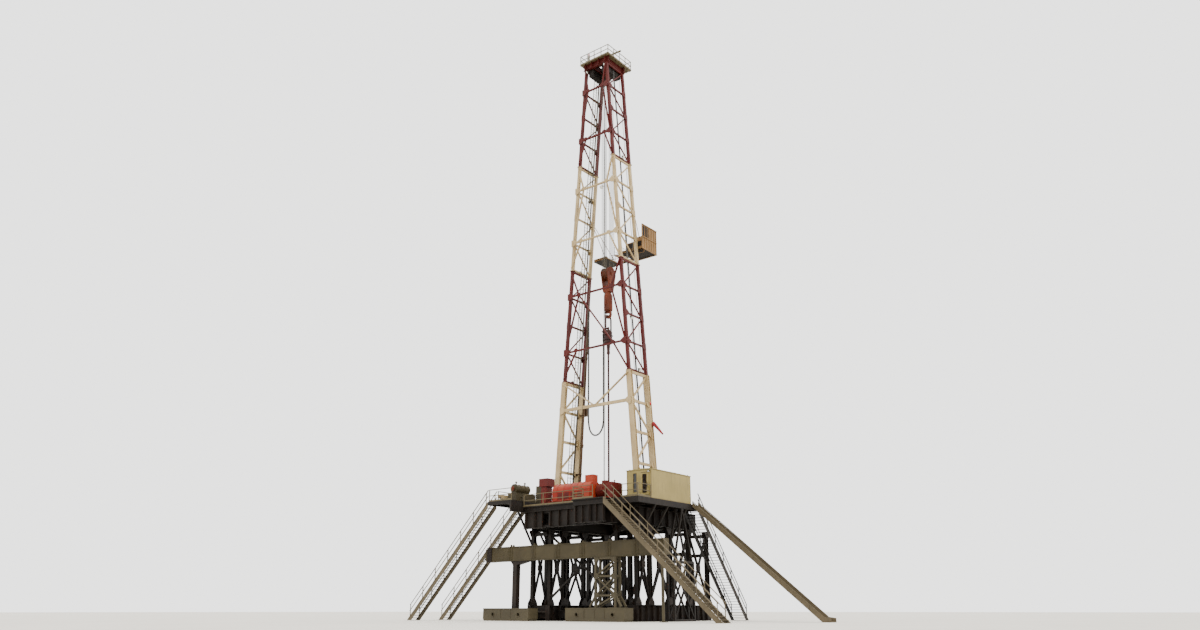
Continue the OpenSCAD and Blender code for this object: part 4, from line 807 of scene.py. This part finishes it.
# The timbers are near-black: painted shade of the crown's underside.
piece("crown_bumpers", [blocks(timbers, [0.31, 0.18, 0.37])], "timber_in_painted_shade",
      rounded=0.006)
guard_arc = arc_about(0, np.linspace(0.12 * np.pi, 0.88 * np.pi, 15), 0.350) + [0, 0, CROWN_Z]
guard_bars = guard_arc[2:-2:2]
piece("crown_guards",
      [tube(guard_arc + [x, 0, 0], 0.009, 6, RIGHT) for x in (-0.19, 0.19)]
      + [rods(guard_bars - [0.19, 0, 0], guard_bars + [0.19, 0, 0], 0.008, 6),
         blocks(grid_of([-0.275, 0.195], -0.09, 28.042), [0.08, 0.18, 0.058]),
         bolt_heads(grid_of([-0.235, 0.235], [-0.06, 0.06], 28.10), UP, 0.013, 0.02)],
      "kelly_steel", rounded=0.002)
piece("crown_beacon",
      [turned([(0.045, 0), (0.045, 0.03), (0.038, 0.035), (0.038, 0.10), (0.030, 0.125),
               (0.012, 0.138)], (-0.56, -0.90, 28.672), UP, 20)],
      "red_lens", smooth=True)
crown_posts = grid_of([-0.92, 0.92], np.linspace(-1.155, 0.855, 5), 28.072)
rib_x, rib_y = np.linspace(-0.90, 0.90, 9) - 0.008, np.linspace(-1.14, 0.84, 9) - 0.008
piece("crown_deck_ribs",
      [blocks(grid_of(rib_x, y, 27.985), [0.016, reach, 0.057])
       for y, reach in ((-1.17, 0.04), (0.58, 0.29))]
      + [blocks(grid_of([-0.935, 0.842], rib_y, 27.985), [0.093, 0.016, 0.057]),
         blocks(crown_posts - [0.035, 0.035, 0.004], [0.07, 0.07, 0.012])],
      "rail_buff")
print("mast dressing:", len(rung), "rungs,", len(lenses), "lamps")

# %% [markdown]
# ## The racking board
#
# The derrickman works behind sheet walls, ribbed on the outside and tarnished brown. The fingers
# carry a latch each, and a rail runs round the diving board.

# %% Racking board
wall_z = np.array([17.28, 17.90, 18.55])
piece("wind_wall_ribs",
      [blocks(points_at(1.815, np.linspace(0.40, 1.60, 7) - 0.018, 17.29), [0.025, 0.036, 1.30]),
       blocks(points_at(np.linspace(0.50, 1.78, 8) - 0.018, 1.615, 17.29), [0.036, 0.025, 1.30]),
       blocks(points_at(1.815, 0.37, wall_z), [0.035, 1.27, 0.04]),
       blocks(points_at(0.46, 1.615, wall_z), [1.36, 0.035, 0.04])],
      "board_tan", rounded=0.003)
# Near-black panels on the walls: painted shade where the openings show the dark inside.
piece("wind_wall_shade_panels",
      [boxes([[1.8155, 0.44, 17.98], [0.72, 0.555, 17.40], [1.24, 0.555, 17.40],
              [0.50, 0.49, 17.16]],
             [[1.822, 0.92, 18.50], [1.16, 0.566, 17.78], [1.74, 0.566, 17.78],
              [1.78, 0.56, 17.26]])], "board_dark")
latches = grid_of(np.arange(0.525, 1.30, 0.13), [0.62, 0.98, 1.34], 17.43)
latches = np.concatenate([latches, latches * [-1, 1, 1]])
piece("finger_latches",
      [blocks(latches - [0.05, 0.014, 0], [0.10, 0.028, 0.022]),
       rods(latches + [0.03, -0.03, 0.012], latches + [0.03, 0.03, 0.012], 0.009, 6)],
      "kelly_steel")
RAIL_Z = [17.69, 17.94]
board_rails = [(grid_of([-0.125, 0.125], [0.70, 1.10, 1.50], 17.44), [0, 0, 0.5]),
               (grid_of([-0.125, 0.125], 0.70, RAIL_Z), [0, 0.80, 0]),
               (grid_of(-0.9, 1.52, RAIL_Z), [0.42, 0, 0]),
               (grid_of([-0.9, -0.69, -0.48], 1.52, 17.44), [0, 0, 0.5])]
piece("diving_board_rail", [rods(low, low + reach, 0.011, 6) for low, reach in board_rails],
      "rail_buff")
piece("board_braces",
      [rods([hand * x, 1.50, 17.36], on_leg(hand, 0.47, levels[10], out), 0.016, 8)
       for hand in HANDS for x, out in ((0.60, -0.05), (1.10, 0.02))],
      "board_tan")

# %% [markdown]
# ## Block, swivel and kelly
#
# The block's cheeks are bolted through, and a hub covers each end of its shaft. The hook has a
# latch across its throat, and collars round its barrel hold the spring inside. The swivel is a
# casting with a bolted bonnet, and below it a valve joins it to the kelly.

# %% Block, swivel and kelly
BARREL_Z, SWIVEL_Z, CHEEK_X = BLOCK_Z - 1.95, 12.4266, 0.209
SPRING_TURNS = 9
cheek_bolts = np.concatenate([
    arc_about(0, np.pi * (0.06 + 0.88 * np.arange(7) / 6), 0.315),
    [[0, hand * y, -z] for hand in HANDS for y, z in ((0.24, 0.34), (0.18, 0.62), (0.11, 0.88))]])
hub = [(0.115, 0), (0.115, 0.012), (0.075, 0.016), (0.075, 0.034), (0.030, 0.038)]
cheek_plate = [(-0.20, -0.16), (0.20, -0.16), (0.15, -0.52), (-0.15, -0.52)]
block_shapes = []
for hand in HANDS:
    cheek = np.array([hand * CHEEK_X, 0, BLOCK_Z])
    block_shapes += [bolt_heads(cheek_bolts + cheek, (hand, 0, 0), 0.018, 0.016),
                     turned(hub, cheek, (hand, 0, 0), 28),
                     slabs(cheek_plate, cheek - [0, 0, 0.12], FAR, UP, (hand * 0.010, 0, 0))]
block_shapes += [collar((0, 0, BARREL_Z), UP, 0.152, 0.168, z, 0.060, 0.008, 36)
                 for z in (0.10, 0.30, 0.62)]
spring = np.linspace(0, SPRING_TURNS * FULL_TURN, SPRING_TURNS * 24)
coil = arc_about(2, spring, 0.153) + points_at(0, 0, BARREL_Z + 0.37
                                               + 0.23 * spring / spring[-1])
block_shapes += [tube(coil, 0.011, 6, UP),
                 rods([-0.235, 0, BLOCK_Z - 0.80], [0.235, 0, BLOCK_Z - 0.80], 0.035, 16)]
piece("block_hardware", block_shapes, "block_orange", body="travelling_gear", rounded=0.002)
piece("hook_latch",
      [flats([-0.140, 0, BARREL_Z - 0.04], [-0.168, 0, BARREL_Z - 0.19], 0.05, 0.022),
       boxes([-0.205, -0.045, BARREL_Z - 0.06], [-0.125, 0.045, BARREL_Z + 0.01]),
       rods([-0.165, -0.06, BARREL_Z - 0.03], [-0.165, 0.06, BARREL_Z - 0.03], 0.016, 12)],
      "kelly_steel", body="travelling_gear", rounded=0.003)

bonnet_bolts = arc_about(2, even_angles(12), 0.206) + [0, 0, SWIVEL_Z + 0.335]
lugs = arc_about(2, even_angles(3), 1)
union_at = np.array([-0.3, 0, 13.28])
valve = [(0.050, 0), (0.080, -0.010), (0.080, -0.12), (0.070, -0.13), (0.070, -0.22),
         (0.080, -0.23), (0.080, -0.33), (0.050, -0.35)]
piece("swivel_hardware",
      [collar((0, 0, SWIVEL_Z + z), UP, 0.186, rim, 0, 0.040, 0.004, 40)
       for z, rim in ((0.36, 0.224), (0.22, 0.200))]
      + [rods(bonnet_bolts, bonnet_bolts + [0, 0, 0.085], 0.014, 6),
         turned(valve, (0, 0, SWIVEL_Z), UP, 28),
         rods([0, -0.095, SWIVEL_Z - 0.175], [0, 0.095, SWIVEL_Z - 0.175], 0.026, 14),
         collar(union_at, UP, 0.043, 0.062, -0.05, 0.10, 0.005, 20),
         flats(union_at + 0.055 * lugs, union_at + 0.092 * lugs, 0.03, 0.05)]
      + [collar((0, hand * 0.262, SWIVEL_Z + 0.64), FAR, 0.056, 0.066, -0.03, 0.06, 0.004, 20)
         for hand in HANDS],
      "swivel_brown", body="travelling_gear", rounded=0.002)

# %% [markdown]
# ## The doghouse
#
# The cabin is pressed sheet on a frame of angle. Its windows stand in frames behind a guard bar,
# rain runs off a gutter round the roof, and the door has a pull handle.

# %% Doghouse
HOUSE_X, HOUSE_Y, DOOR_Y = (2.590, 3.840), (-2.125, 0.875), -2.1553
window_y = np.array([-1.20, -0.20])
piece("window_frames",
      [blocks(grid_of(2.582, window_y - 0.014, [5.320, 5.706]), [0.016, 0.588, 0.014]),
       blocks(grid_of(2.582, [-1.214, -0.640, -0.214, 0.360], 5.334),
              [0.016, 0.014, 0.372]),
       blocks(points_at(2.584, window_y + 0.27, 5.334), [0.012, 0.015, 0.372]),
       blocks(grid_of(2.914, -2.133, [5.082, 5.868]), [0.192, 0.016, 0.012]),
       blocks(grid_of([2.914, 3.098], -2.133, 5.094), [0.012, 0.016, 0.774])],
      "cabin_trim")
piece("window_panes_in_shade", [blocks(points_at(2.606, window_y, 5.320), [0.005, 0.560, 0.400]),
                       boxes([2.91, -2.108, 5.08], [3.11, -2.103, 5.88])],
      "window_glass")
corners = grid_of([HOUSE_X[0] - 0.004, HOUSE_X[1] - 0.031],
                  [HOUSE_Y[0] - 0.004, HOUSE_Y[1] - 0.031], 4.90)
piece("cabin_trim",
      [blocks(corners, [0.035, 0.035, 1.10]),
       boxes([[2.575, -2.142, 5.985], [3.838, -2.142, 5.985], [2.575, 0.875, 5.985],
              [3.842, -2.14, 4.802], [2.60, -2.14, 4.802]],
             [[3.855, -2.125, 6.028], [3.855, 0.875, 6.028], [3.855, 0.892, 6.028],
              [3.856, 0.89, 4.835], [3.842, -2.126, 4.835]])],
      "cabin_trim", rounded=0.002)
eyes = grid_of([2.66, 3.77], [-2.02, 0.77], 6.028)
eye_arc = arc_about(0, np.linspace(0, np.pi, 9), 0.035, 0.045)
piece("cabin_lifting_eyes", [tube(eye_arc + eye, 0.008, 6, RIGHT) for eye in eyes]
      + [blocks(eyes - [0.03, 0.06, 0.006], [0.06, 0.12, 0.012])], "kelly_steel")
piece("cabin_vent",
      [turned([(0.06, 0), (0.06, 0.06), (0.095, 0.065), (0.095, 0.085), (0.02, 0.115)],
              (3.215, -0.60, 6.045), UP, 24),
       boxes([3.05, 0.10, 6.03], [3.38, 0.50, 6.16])],
      "cabin_trim", rounded=0.004)
pull = points_at(3.655, DOOR_Y - np.array([-0.002, 0.030, 0.034, 0.030, -0.002]),
                 [5.26, 5.275, 5.34, 5.405, 5.42])
piece("door_pull",
      [tube(pull, 0.006, 8, RIGHT),
       boxes([3.642, DOOR_Y - 0.004, 5.235], [3.668, DOOR_Y + 0.002, 5.445]),
       blocks(grid_of(3.345, DOOR_Y - 0.005, [4.925, 5.86]), [0.370, 0.006, 0.020])],
      "kelly_steel", "doghouse_door", rounded=0.001)
# The louvre blades are near-black: painted shade, where the slots of the door are dark.
piece("door_shade_blades",
      [slabs([(0, 0), (0.224, 0), (0.224, 0.045), (0, 0.045)],
             points_at(3.408, -2.148, 5.045 + 0.05846 * np.arange(13)),
             RIGHT, (0, -0.5, 0.866), (0, 0.0104, 0.006))],
      "board_dark", body="doghouse_door")
housing, lens = floodlight((3.76, -2.20, 5.90), (0.2, -0.5, -0.85), 0.55)
piece("cabin_lamp", housing + [rods([3.76, -2.12, 5.93], [3.76, -2.19, 5.92], 0.008, 6)],
      "lamp_grey", smooth=True)
piece("cabin_lamp_lens", [lens], "lamp_lens", smooth=True)

# %% [markdown]
# ## The drawworks
#
# The wire rope winds on its drum as a helix: the angle grows evenly while the rope moves one
# rope's width along for every turn. Straps stiffen the hood, and its doors are bolted sheet.
# The motor sheds heat from rings round its case.

# %% Drawworks
TURNS, TURN_STEP = 58, 0.0206
wound = np.linspace(0, TURNS * FULL_TURN, TURNS * 20 + 1)
helix = arc_about(0, wound, 0.189) + points_at(-0.795 + TURN_STEP * wound / FULL_TURN,
                                               -2.13, 5.36)
piece("wound_rope", [tube(helix, 0.0095, 6, RIGHT)], "wire_rope", smooth=True)
strap = arc_about(0, np.linspace(np.pi, 0.36 * np.pi, 21), 0.362) + [0, -2.25, 5.37]
strap = np.vstack([[[0, -2.612, 4.98]], strap])
piece("hood_straps",
      [tube(strap + [x, 0, 0], 0.012, 8, RIGHT)
       for x in (-1.12, -0.86, -0.50, -0.14, 0.22, 0.50, 0.97)]
      + [blocks(grid_of(-1.16, -2.622, [4.965, 5.355]), [2.17, 0.022, 0.03])],
      "machine_red", smooth=True)
sheets = points_at([-0.82, -0.46, -0.10, 0.26], -2.617, 5.02)
slits = each_with(sheets, 0.05, -0.007, 0.07 + 0.032 * np.arange(5))
piece("hood_doors",
      [blocks(sheets, [0.28, 0.012, 0.29]),
       bolt_heads(each_with(sheets, [0.02, 0.14, 0.26], 0, [0.02, 0.27]), NEAR, 0.010, 0.010),
       blocks(slits, [0.18, 0.010, 0.010])], "faded_red", rounded=0.001)
piece("motor_rings",
      [collar((1.06 + 0.062 * k, -2.0, 5.30), RIGHT, 0.298, 0.322, 0, 0.018, 0.004, 40)
       for k in range(10)]
      + [boxes([[1.24, -2.11, 5.59], [1.29, -2.33, 5.28]],
               [[1.48, -1.89, 5.73], [1.43, -2.29, 5.42]]),
         turned([(0.10, 0), (0.10, 0.05), (0.04, 0.06)], (1.665, -2.0, 5.30), RIGHT, 24)],
      "faded_red", rounded=0.002)
piece("gear_case_trim",
      [boxes([[1.705, -2.365, 5.28], [1.74, -2.33, 5.586]],
             [[1.995, -1.635, 5.31], [1.96, -1.67, 5.606]]),
       bolt_heads(grid_of([1.76, 1.85, 1.94], -2.353, [5.02, 5.30, 5.56]), NEAR,
                  0.012, 0.012),
       bolt_heads(grid_of([1.77, 1.93], np.linspace(-2.28, -1.72, 5), 5.606), UP),
       turned([(0.020, 0), (0.020, 0.06), (0.035, 0.065), (0.035, 0.10), (0.01, 0.115)],
              (1.85, -2.0, 5.606), UP, 16)], "faded_red", rounded=0.001)
gauges = grid_of([-1.92, -1.75, -1.58], -2.052, [5.80, 5.93])
piece("console_trim",
      [boxes([[-2.01, -2.56, 6.010], [-1.86, -2.508, 4.90]],
             [[-1.49, -2.04, 6.028], [-1.64, -2.498, 5.60]]),
       blocks(points_at(-1.83, -2.514, 5.30 + 0.04 * np.arange(6)), [0.16, 0.014, 0.012])]
      + [turned([(0.055, 0), (0.055, 0.016), (0.045, 0.018)], gauge, FAR, 20)
         for gauge in gauges], "faded_red", rounded=0.001)
lever_feet = points_at(-1.90 + 0.10 * np.arange(4), -2.10, 5.55)
lever_tips = lever_feet + [0, 0.14, 0.16]
knob = [(0.008, -0.022), (0.020, -0.010), (0.020, 0.010), (0.008, 0.022)]
piece("console_levers", [rods(lever_feet, lever_tips, 0.009, 8)]
      + [turned(knob, tip, (0, 0.66, 0.75), 12) for tip in lever_tips],
      "kelly_steel", smooth=True)

# %% [markdown]
# ## Machines on the left platform
#
# A pump unit, a switch cabinet and a lamp post stand on the raised platform. They get the
# straps, flanges, pipes, handles and slits that such things have.

# %% Left platform
tank_at = np.array([-3.26, 0, 5.67])
wheel_at = tank_at + [0, -2.93, 0]
cap = [(0.03, 0), (0.03, 0.08), (0.055, 0.085), (0.055, 0.105), (0.02, 0.15)]
piece("pump_fittings",
      [collar(tank_at + [0, y, 0], FAR, 0.198, 0.215, 0, 0.033, 0.003, 36)
       for y in (-2.84, -2.55, -2.25, -1.99)]
      + [turned(cap, tank_at + [0, y, 0.195], UP, 16) for y in (-2.70, -2.12)]
      + [turned([(0.12, 0), (0.12, -0.015), (0.08, -0.020), (0.08, -0.05)],
                tank_at + [0, -2.85, 0], FAR, 24),
         tube([[-3.00, -2.60, 5.30], [-2.93, -2.60, 5.30], [-2.90, -2.60, 5.26],
               [-2.90, -2.60, 5.08]], 0.026, 10),
         boxes([-3.53, -2.96, 5.46], [-2.99, -1.64, 5.482])], "olive_paint", rounded=0.001)
spokes = 0.085 * np.array([RIGHT, UP])
piece("pump_hand_wheel",
      [tube(arc_about(1, np.linspace(0, FULL_TURN, 25), 0.085) + wheel_at, 0.010, 8),
       rods(wheel_at - spokes, wheel_at + spokes, 0.007, 6),
       rods(wheel_at - [0, 0.01, 0], wheel_at + [0, 0.04, 0], 0.014, 8)],
      "machine_red", smooth=True)
piece("cabinet_doors",
      [blocks(grid_of(-3.002, [-1.235, -0.945], 5.09), [0.012, 0.28, 0.80]),
       blocks(points_at(-2.998, -1.17, 5.20 + 0.035 * np.arange(6)), [0.016, 0.14, 0.012]),
       boxes([[-3.36, -1.26, 5.925], [-3.34, -1.262, 5.11]],
             [[-2.985, -0.64, 5.945], [-3.01, -1.248, 5.88]]),
       rods([-2.978, -0.975, 5.44], [-2.978, -0.975, 5.56], 0.008, 8)],
      "olive_paint", rounded=0.001)
tray = [(-3.90, 0.0, 0.020), (-3.86, 0.0, 0.018), (-3.81, 0.004, 0.024), (-3.77, 0.0, 0.016),
        (-3.88, 0.034, 0.016), (-3.84, 0.036, 0.018)]
piece("tray_cables", [rods([x, -3.10, 5.286 + lift], [x, 1.98, 5.286 + lift], radius, 8)
                      for x, lift, radius in tray], "hose_rubber", smooth=True)

# %% [markdown]
# ## Round the floor
#
# Every handrail post stands on a small bolted plate, so the posts are counted with the rule the
# frame uses: one near each metre, and one at each end. The rotary table has its ring of bolts.

# %% Round the floor
rails = [(DECK, -2.522, 2.747, -0.70, 2.747), (DECK, 0.70, 2.747, 2.522, 2.747),
         (DECK, 0.96, -3.697, 2.00, -3.697), (DECK, -2.522, -2.922, 0.872, -2.922),
         (DECK, 0.928, -3.637, 0.928, -3.01), (DECK, 2.522, 1.485, 2.522, 2.687),
         (DECK, 3.05, -3.087, 3.82, -3.087), (DECK, 3.852, -3.087, 3.852, -2.185),
         (SIDE_DECK, -3.94, -3.697, -2.578, -3.697), (SIDE_DECK, -3.972, -3.105, -3.972, -1.83),
         (SIDE_DECK, -3.972, -1.16, -3.972, 2.065), (SIDE_DECK, -3.94, 2.097, -2.578, 2.097)]
posts = []
for z, x0, y0, x1, y1 in rails:
    count = max(1, round(math.hypot(x1 - x0, y1 - y0)))
    posts.append(np.linspace([x0, y0, z], [x1, y1, z], count + 1))
posts = np.concatenate(posts)
piece("rail_feet",
      [blocks(posts - [0.030, 0.030, 0], [0.060, 0.060, 0.010]),
       bolt_heads(each_with(posts, [-0.021, 0.021], [-0.021, 0.021], 0.010), UP, 0.006, 0.008),
       rods(posts + [0, 0, 0.524], posts + [0, 0, 0.540], 0.017, 8)], "rail_buff")
piece("rotary_table_trim",
      [band([(0.384, 4.87), (0.396, 4.875), (0.396, 4.905), (0.384, 4.910)], (0, 0, 0), UP, 48),
       bolt_heads(arc_about(2, even_angles(16), 0.345) + [0, 0, 4.93], UP, 0.015, 0.014),
       bolt_heads(grid_of([-0.41, 0.41], [-0.56, 0.56], 4.86), UP, 0.022, 0.022),
       boxes([0.47, -0.28, 4.802], [0.95, 0.28, 5.02]),
       blocks(grid_of([0.50, 0.70, 0.90], -0.295, 4.81), [0.02, 0.59, 0.22])],
      "grimy_steel", rounded=0.002)

# %% [markdown]
# ## Stairs and slide
#
# The treads are open gratings: a round nosing in front and bars from side to side. Each stair is
# drawn once, falling along its own first axis, then turned by a quarter or a half turn and moved.

# %% Stairs and slide
TREAD_RISE = 0.116


def stair_gratings(run, width, rise):
    """Nosings, grating bars and clips of one stair, with its head at the height of the rise."""
    count = round(rise / TREAD_RISE)
    share = np.arange(1, count) / count
    x, z = run * share, rise * (1 - share)
    nose = points_at(x + 0.054, 0.018, z - 0.008)
    across = np.array([0, width - 0.036, 0])
    strip_y = [0.013, width - 0.013]
    return [rods(nose, nose + across, 0.010, 6),
            blocks(each_with(nose, [-0.03, -0.05, -0.07, -0.09, -0.11], 0, -0.016),
                   across + [0.006, 0, 0.020]),
            blocks(each_with(points_at(x, 0, z), -0.035, [-0.008, width], -0.035),
                   [0.06, 0.008, 0.03]),
            flats(points_at(0.02, strip_y, rise - 0.008), points_at(run - 0.02, strip_y, 0.016),
                  0.05, 0.012),
            boxes([run - 0.20, -0.012, 0], [run, width + 0.012, 0.014])]


def placed(shapes, turn, origin):
    """The shapes turned about the upright and moved: x' = x cos - y sin, y' = x sin + y cos."""
    c, s = math.cos(turn), math.sin(turn)
    turning = np.array([[c, s, 0], [-s, c, 0], [0, 0, 1]])
    return [(points @ turning + origin, faces) for points, faces in shapes]


stairs = [("rear_stair_gratings", 5.35, 0.55, DECK, 0.0, (2.55, -3.715, 0), "stair_grey"),
          ("left_stair_gratings_1", 5.0, 0.55, SIDE_DECK, np.pi, (-4.0, -3.165, 0), "stair_grey"),
          ("left_stair_gratings_2", 5.0, 0.55, SIDE_DECK, np.pi, (-4.0, -1.22, 0), "stair_grey"),
          ("right_stair_gratings", 4.0, 0.78, DECK, np.pi / 2, (3.86, 1.425, 0), "stair_dark")]
for name, run, width, rise, turn, origin, paint in stairs:
    piece(name, placed(stair_gratings(run, width, rise), turn, origin), paint)
slide_ribs = np.array([3.88, 0.905, 4.70]) + np.arange(1, 10)[:, None] * [0.57, 0, -0.47]
piece("slide_ribs",
      [blocks(each_with(slide_ribs, -0.02, [-0.012, 0.480], 0), [0.04, 0.012, 0.21]),
       rods(points_at(3.90, [0.911, 1.379], 4.935), points_at(9.56, [0.911, 1.379], 0.215),
            0.014, 8)], "stair_grey")

# %% [markdown]
# ## Under the floor
#
# The girders that carry the floor have upright stiffeners between their flanges. Gussets spread
# the load of each brace into its column, and a pull bar crosses each end of the base boxes.

# %% Under the floor
COLUMN_X = (-2.85, -1.85, 1.85, 2.85)
COLUMN_Y = np.array([-1.855, -0.95, 0.47, 2.10, 3.605])
WEB_Z, WEB_HEIGHT = 3.862, 0.676
piece("girder_stiffeners",
      [blocks(points_at(np.arange(-2.40, 2.45, 0.48), -2.944, WEB_Z), [0.014, 0.107, WEB_HEIGHT]),
       blocks(points_at(np.arange(1.05, 2.50, 0.36), -3.679, WEB_Z), [0.014, 0.107, WEB_HEIGHT]),
       blocks(grid_of([-2.964, 2.857], -1.80 + 0.55 * np.arange(8), WEB_Z),
              [0.107, 0.014, WEB_HEIGHT])], "grimy_steel")
splice_heads = each_with(points_at([-1.30, 0.62], -2.835, 0), [-0.13, -0.05, 0.05, 0.13], 0,
                         np.linspace(4.0, 4.4, 6))
piece("girder_splices", [blocks(grid_of([-1.47, 0.45], -2.837, 3.95), [0.34, 0.014, 0.50]),
                         bolt_heads(splice_heads, NEAR, 0.013, 0.014)],
      "grimy_steel")

gusset = [(-0.21, 0.0), (0.21, 0.0), (0.21, 0.09), (0.07, 0.30), (-0.07, 0.30), (-0.21, 0.09)]
middle = (COLUMN_Y[1:] + COLUMN_Y[:-1]) / 2
gussets, gusset_heads = [], []
for x in COLUMN_X:
    gussets.append(blocks(points_at(x - 0.046, middle - 0.12, 2.125), [0.092, 0.24, 0.24]))
    for out in HANDS:
        for z, up in ((0.65, 1), (3.84, -1)):
            origins = points_at(x + out * 0.084, COLUMN_Y, z)
            heads = each_with(origins, out * 0.012, [-0.14, -0.05, 0.05, 0.14], up * 0.045)
            gussets.append(slabs(gusset, origins, FAR, (0, 0, up), (out * 0.012, 0, 0)))
            gusset_heads.append(bolt_heads(heads, (out, 0, 0), 0.012, 0.012))
piece("column_gussets", gussets, "grimy_steel", rounded=0.002)
piece("gusset_bolts", gusset_heads, "kelly_steel")
piece("base_pull_bars",
      [rods([hand * 1.83, y, 0.36], [hand * 2.87, y, 0.36], 0.046, 20)
       for hand in HANDS for y in (-1.975, 3.727)], "grimy_steel", smooth=True)
piece("base_box_ribs",
      [blocks(grid_of([-2.993, -1.813, 1.707, 2.887], np.arange(-1.75, 3.6, 0.42), 0.02),
              [0.106, 0.014, 0.61])], "grimy_steel")
piece("base_box_ends",
      [blocks(grid_of([-2.995, -1.935, 1.705, 2.765], -2.0245, 0.02), [0.23, 0.0145, 0.61])],
      "grimy_steel")

# %% [markdown]
# ## The girder across the rig
#
# The big box girder is bolted together from lengths, so its joints have rows of bolts, and lugs
# stand in pairs along its top. The lattice tower under it has plates at its joints. Rings line
# the lifting holes of the skids.

# %% Girder, tower and skids
girder_joints = points_at(np.arange(-4.83, 4.83, 1.38)[1:-1], 0, 0)
lug_plate = [(-0.06, 0), (0.06, 0), (0.045, 0.075), (0.0, 0.10), (-0.045, 0.075)]
piece("girder_bolts",
      [bolt_heads(each_with(girder_joints, [-0.10, -0.04, 0.064, 0.124], -2.785,
                            np.linspace(2.60, 3.02, 6)), NEAR, 0.014, 0.020),
       blocks(girder_joints + [-0.13, -2.787, 2.56], [0.284, 0.012, 0.505]),
       slabs(lug_plate, each_with(girder_joints, 0.012, [-2.70, -2.55], 3.125), RIGHT, UP,
             (0, 0.02, 0))], "olive_paint")
piece("girder_end",
      [boxes([[-4.926, -2.815, 2.56], [-4.926, -2.815, 3.035], [-4.926, -2.815, 2.56],
              [-4.926, -2.465, 2.56]],
             [[-4.914, -2.435, 2.59], [-4.914, -2.435, 3.065], [-4.914, -2.785, 3.065],
              [-4.914, -2.435, 3.065]])], "olive_paint")
piece("girder_end_dark", [boxes([[-4.922, -2.785, 2.59], [-4.850, -2.811, 2.493]],
                                [[-4.919, -2.465, 3.035], [-4.560, -2.439, 3.132]])],
      "board_dark", rounded=0.004)
tower_plates = []
for x, toward in ((1.45, 1), (2.45, -1)):
    for z, top in ((1.005, 0.13), (1.752, 0.13), (2.44, 0.05)):
        tower_plates += [slabs([(-0.06, -0.13), (0.05, -0.13), (0.19, -0.05), (0.19, 0.05),
                                (0.05, top), (-0.06, top)],
                               (x, -2.820, z), (toward, 0, 0), UP, (0, -0.012, 0)),
                         bolt_heads(grid_of([x, x + toward * 0.14], -2.832,
                                            [z - 0.03, z + 0.03]), NEAR)]
piece("tower_plates", tower_plates, "skid_grey")
hole_rim = [(0.074, 0), (0.104, 0), (0.104, 0.012), (0.074, 0.012)]
piece("skid_trim",
      [band(hole_rim, (x, -2.925, 0.2625), NEAR, 28) for x in (-4.23, -2.70, 0.55, 2.40)]
      + [boxes([[-4.83, -2.935, 0.485], [-0.05, -2.935, 0.485]],
               [[-2.10, -2.925, 0.525], [3.00, -2.925, 0.525]]),
         blocks(grid_of([-3.76, -3.16, 0.94, 1.49, 1.99], -2.937, 0.10),
                [0.02, 0.012, 0.39])], "skid_grey")
print("under the floor:", len(COLUMN_Y) * len(COLUMN_X), "columns with gussets")

# %% [markdown]
# ## Broad legs and dark boards
#
# The lowest section carries the most, so its legs are wide beams: each leg gets two flanges.
# Junction boxes and a red lamp sit on the legs, planks cover the board's underside, and the
# hook's barrel and the left post under the girder get the broader shells that they show.

# %% Broad legs and dark boards
flanges = []
for hand, y, face in grid_of(HANDS, LEG_Y, HANDS):
    low, high = on_leg(hand, y + face * 0.077, [5.172, 10.776])
    flanges.append(slabs([(-0.125, 0), (0.125, 0), (0.125, 1), (-0.125, 1)], low, RIGHT,
                         high - low, (0, face * 0.014, 0)))
piece("leg_flanges", flanges, "cream_paint")
piece("junction_boxes",
      [boxes([[-1.99, 0.49, 9.38], [-2.20, -0.72, 5.60], [2.09, -0.40, 5.60]],
             [[-1.73, 0.62, 9.78], [-2.09, -0.48, 6.02], [2.20, -0.14, 5.98]])],
      "pipe_brown", rounded=0.004)
lamp_leg = on_leg(1, 0.40, 9.41)
piece("leg_lamp",
      [turned([(0.03, 0), (0.03, 0.03), (0.055, 0.035), (0.055, 0.12), (0.035, 0.15)],
              lamp_leg + [0.10, 0, -0.04], UP, 20),
       rods(lamp_leg + [0.05, 0, -0.03], lamp_leg + [0.11, 0, -0.03], 0.012, 8)],
      "red_lens", smooth=True)
planks = [blocks(points_at(x, np.arange(0.50, 1.56, 0.105), 17.318), [length, 0.085, 0.021])
          for x, length in ((-1.30, 0.82), (0.48, 1.31))]
planks.append(boxes([-0.47, 1.51, 17.336], [0.47, 1.60, 17.358]))
piece("board_planks", planks, "board_dark")
barrel = [(0.150, 0.02), (0.205, 0.05), (0.215, 0.10), (0.215, 0.80), (0.190, 0.88),
          (0.150, 0.92)]
piece("hook_body", [turned(barrel, (0, 0, BARREL_Z), UP, 40),
                    blocks([[-0.07, -0.262, BARREL_Z + 0.30], [-0.07, 0.205, BARREL_Z + 0.30]],
                           [0.14, 0.057, 0.22])],
      "block_orange", body="travelling_gear", rounded=0.004)
left_post = [(-0.121, 0.527), (0.121, 0.527), (0.121, 2.336), (0.771, 2.472), (0.771, 2.499),
             (-0.243, 2.499), (-0.243, 2.472), (-0.121, 2.336)]
piece("left_post_coat", [slabs(left_post, (-3.15, -2.742, 0), RIGHT, UP, (0, 0.234, 0))],
      "grimy_steel")

# %% [markdown]
# ## Measure and finish
#
# The size of the box round the dressed rig is printed.

# %% Measure and finish
low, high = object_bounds()
print("visual box", [round(v, 3) for v in high - low])
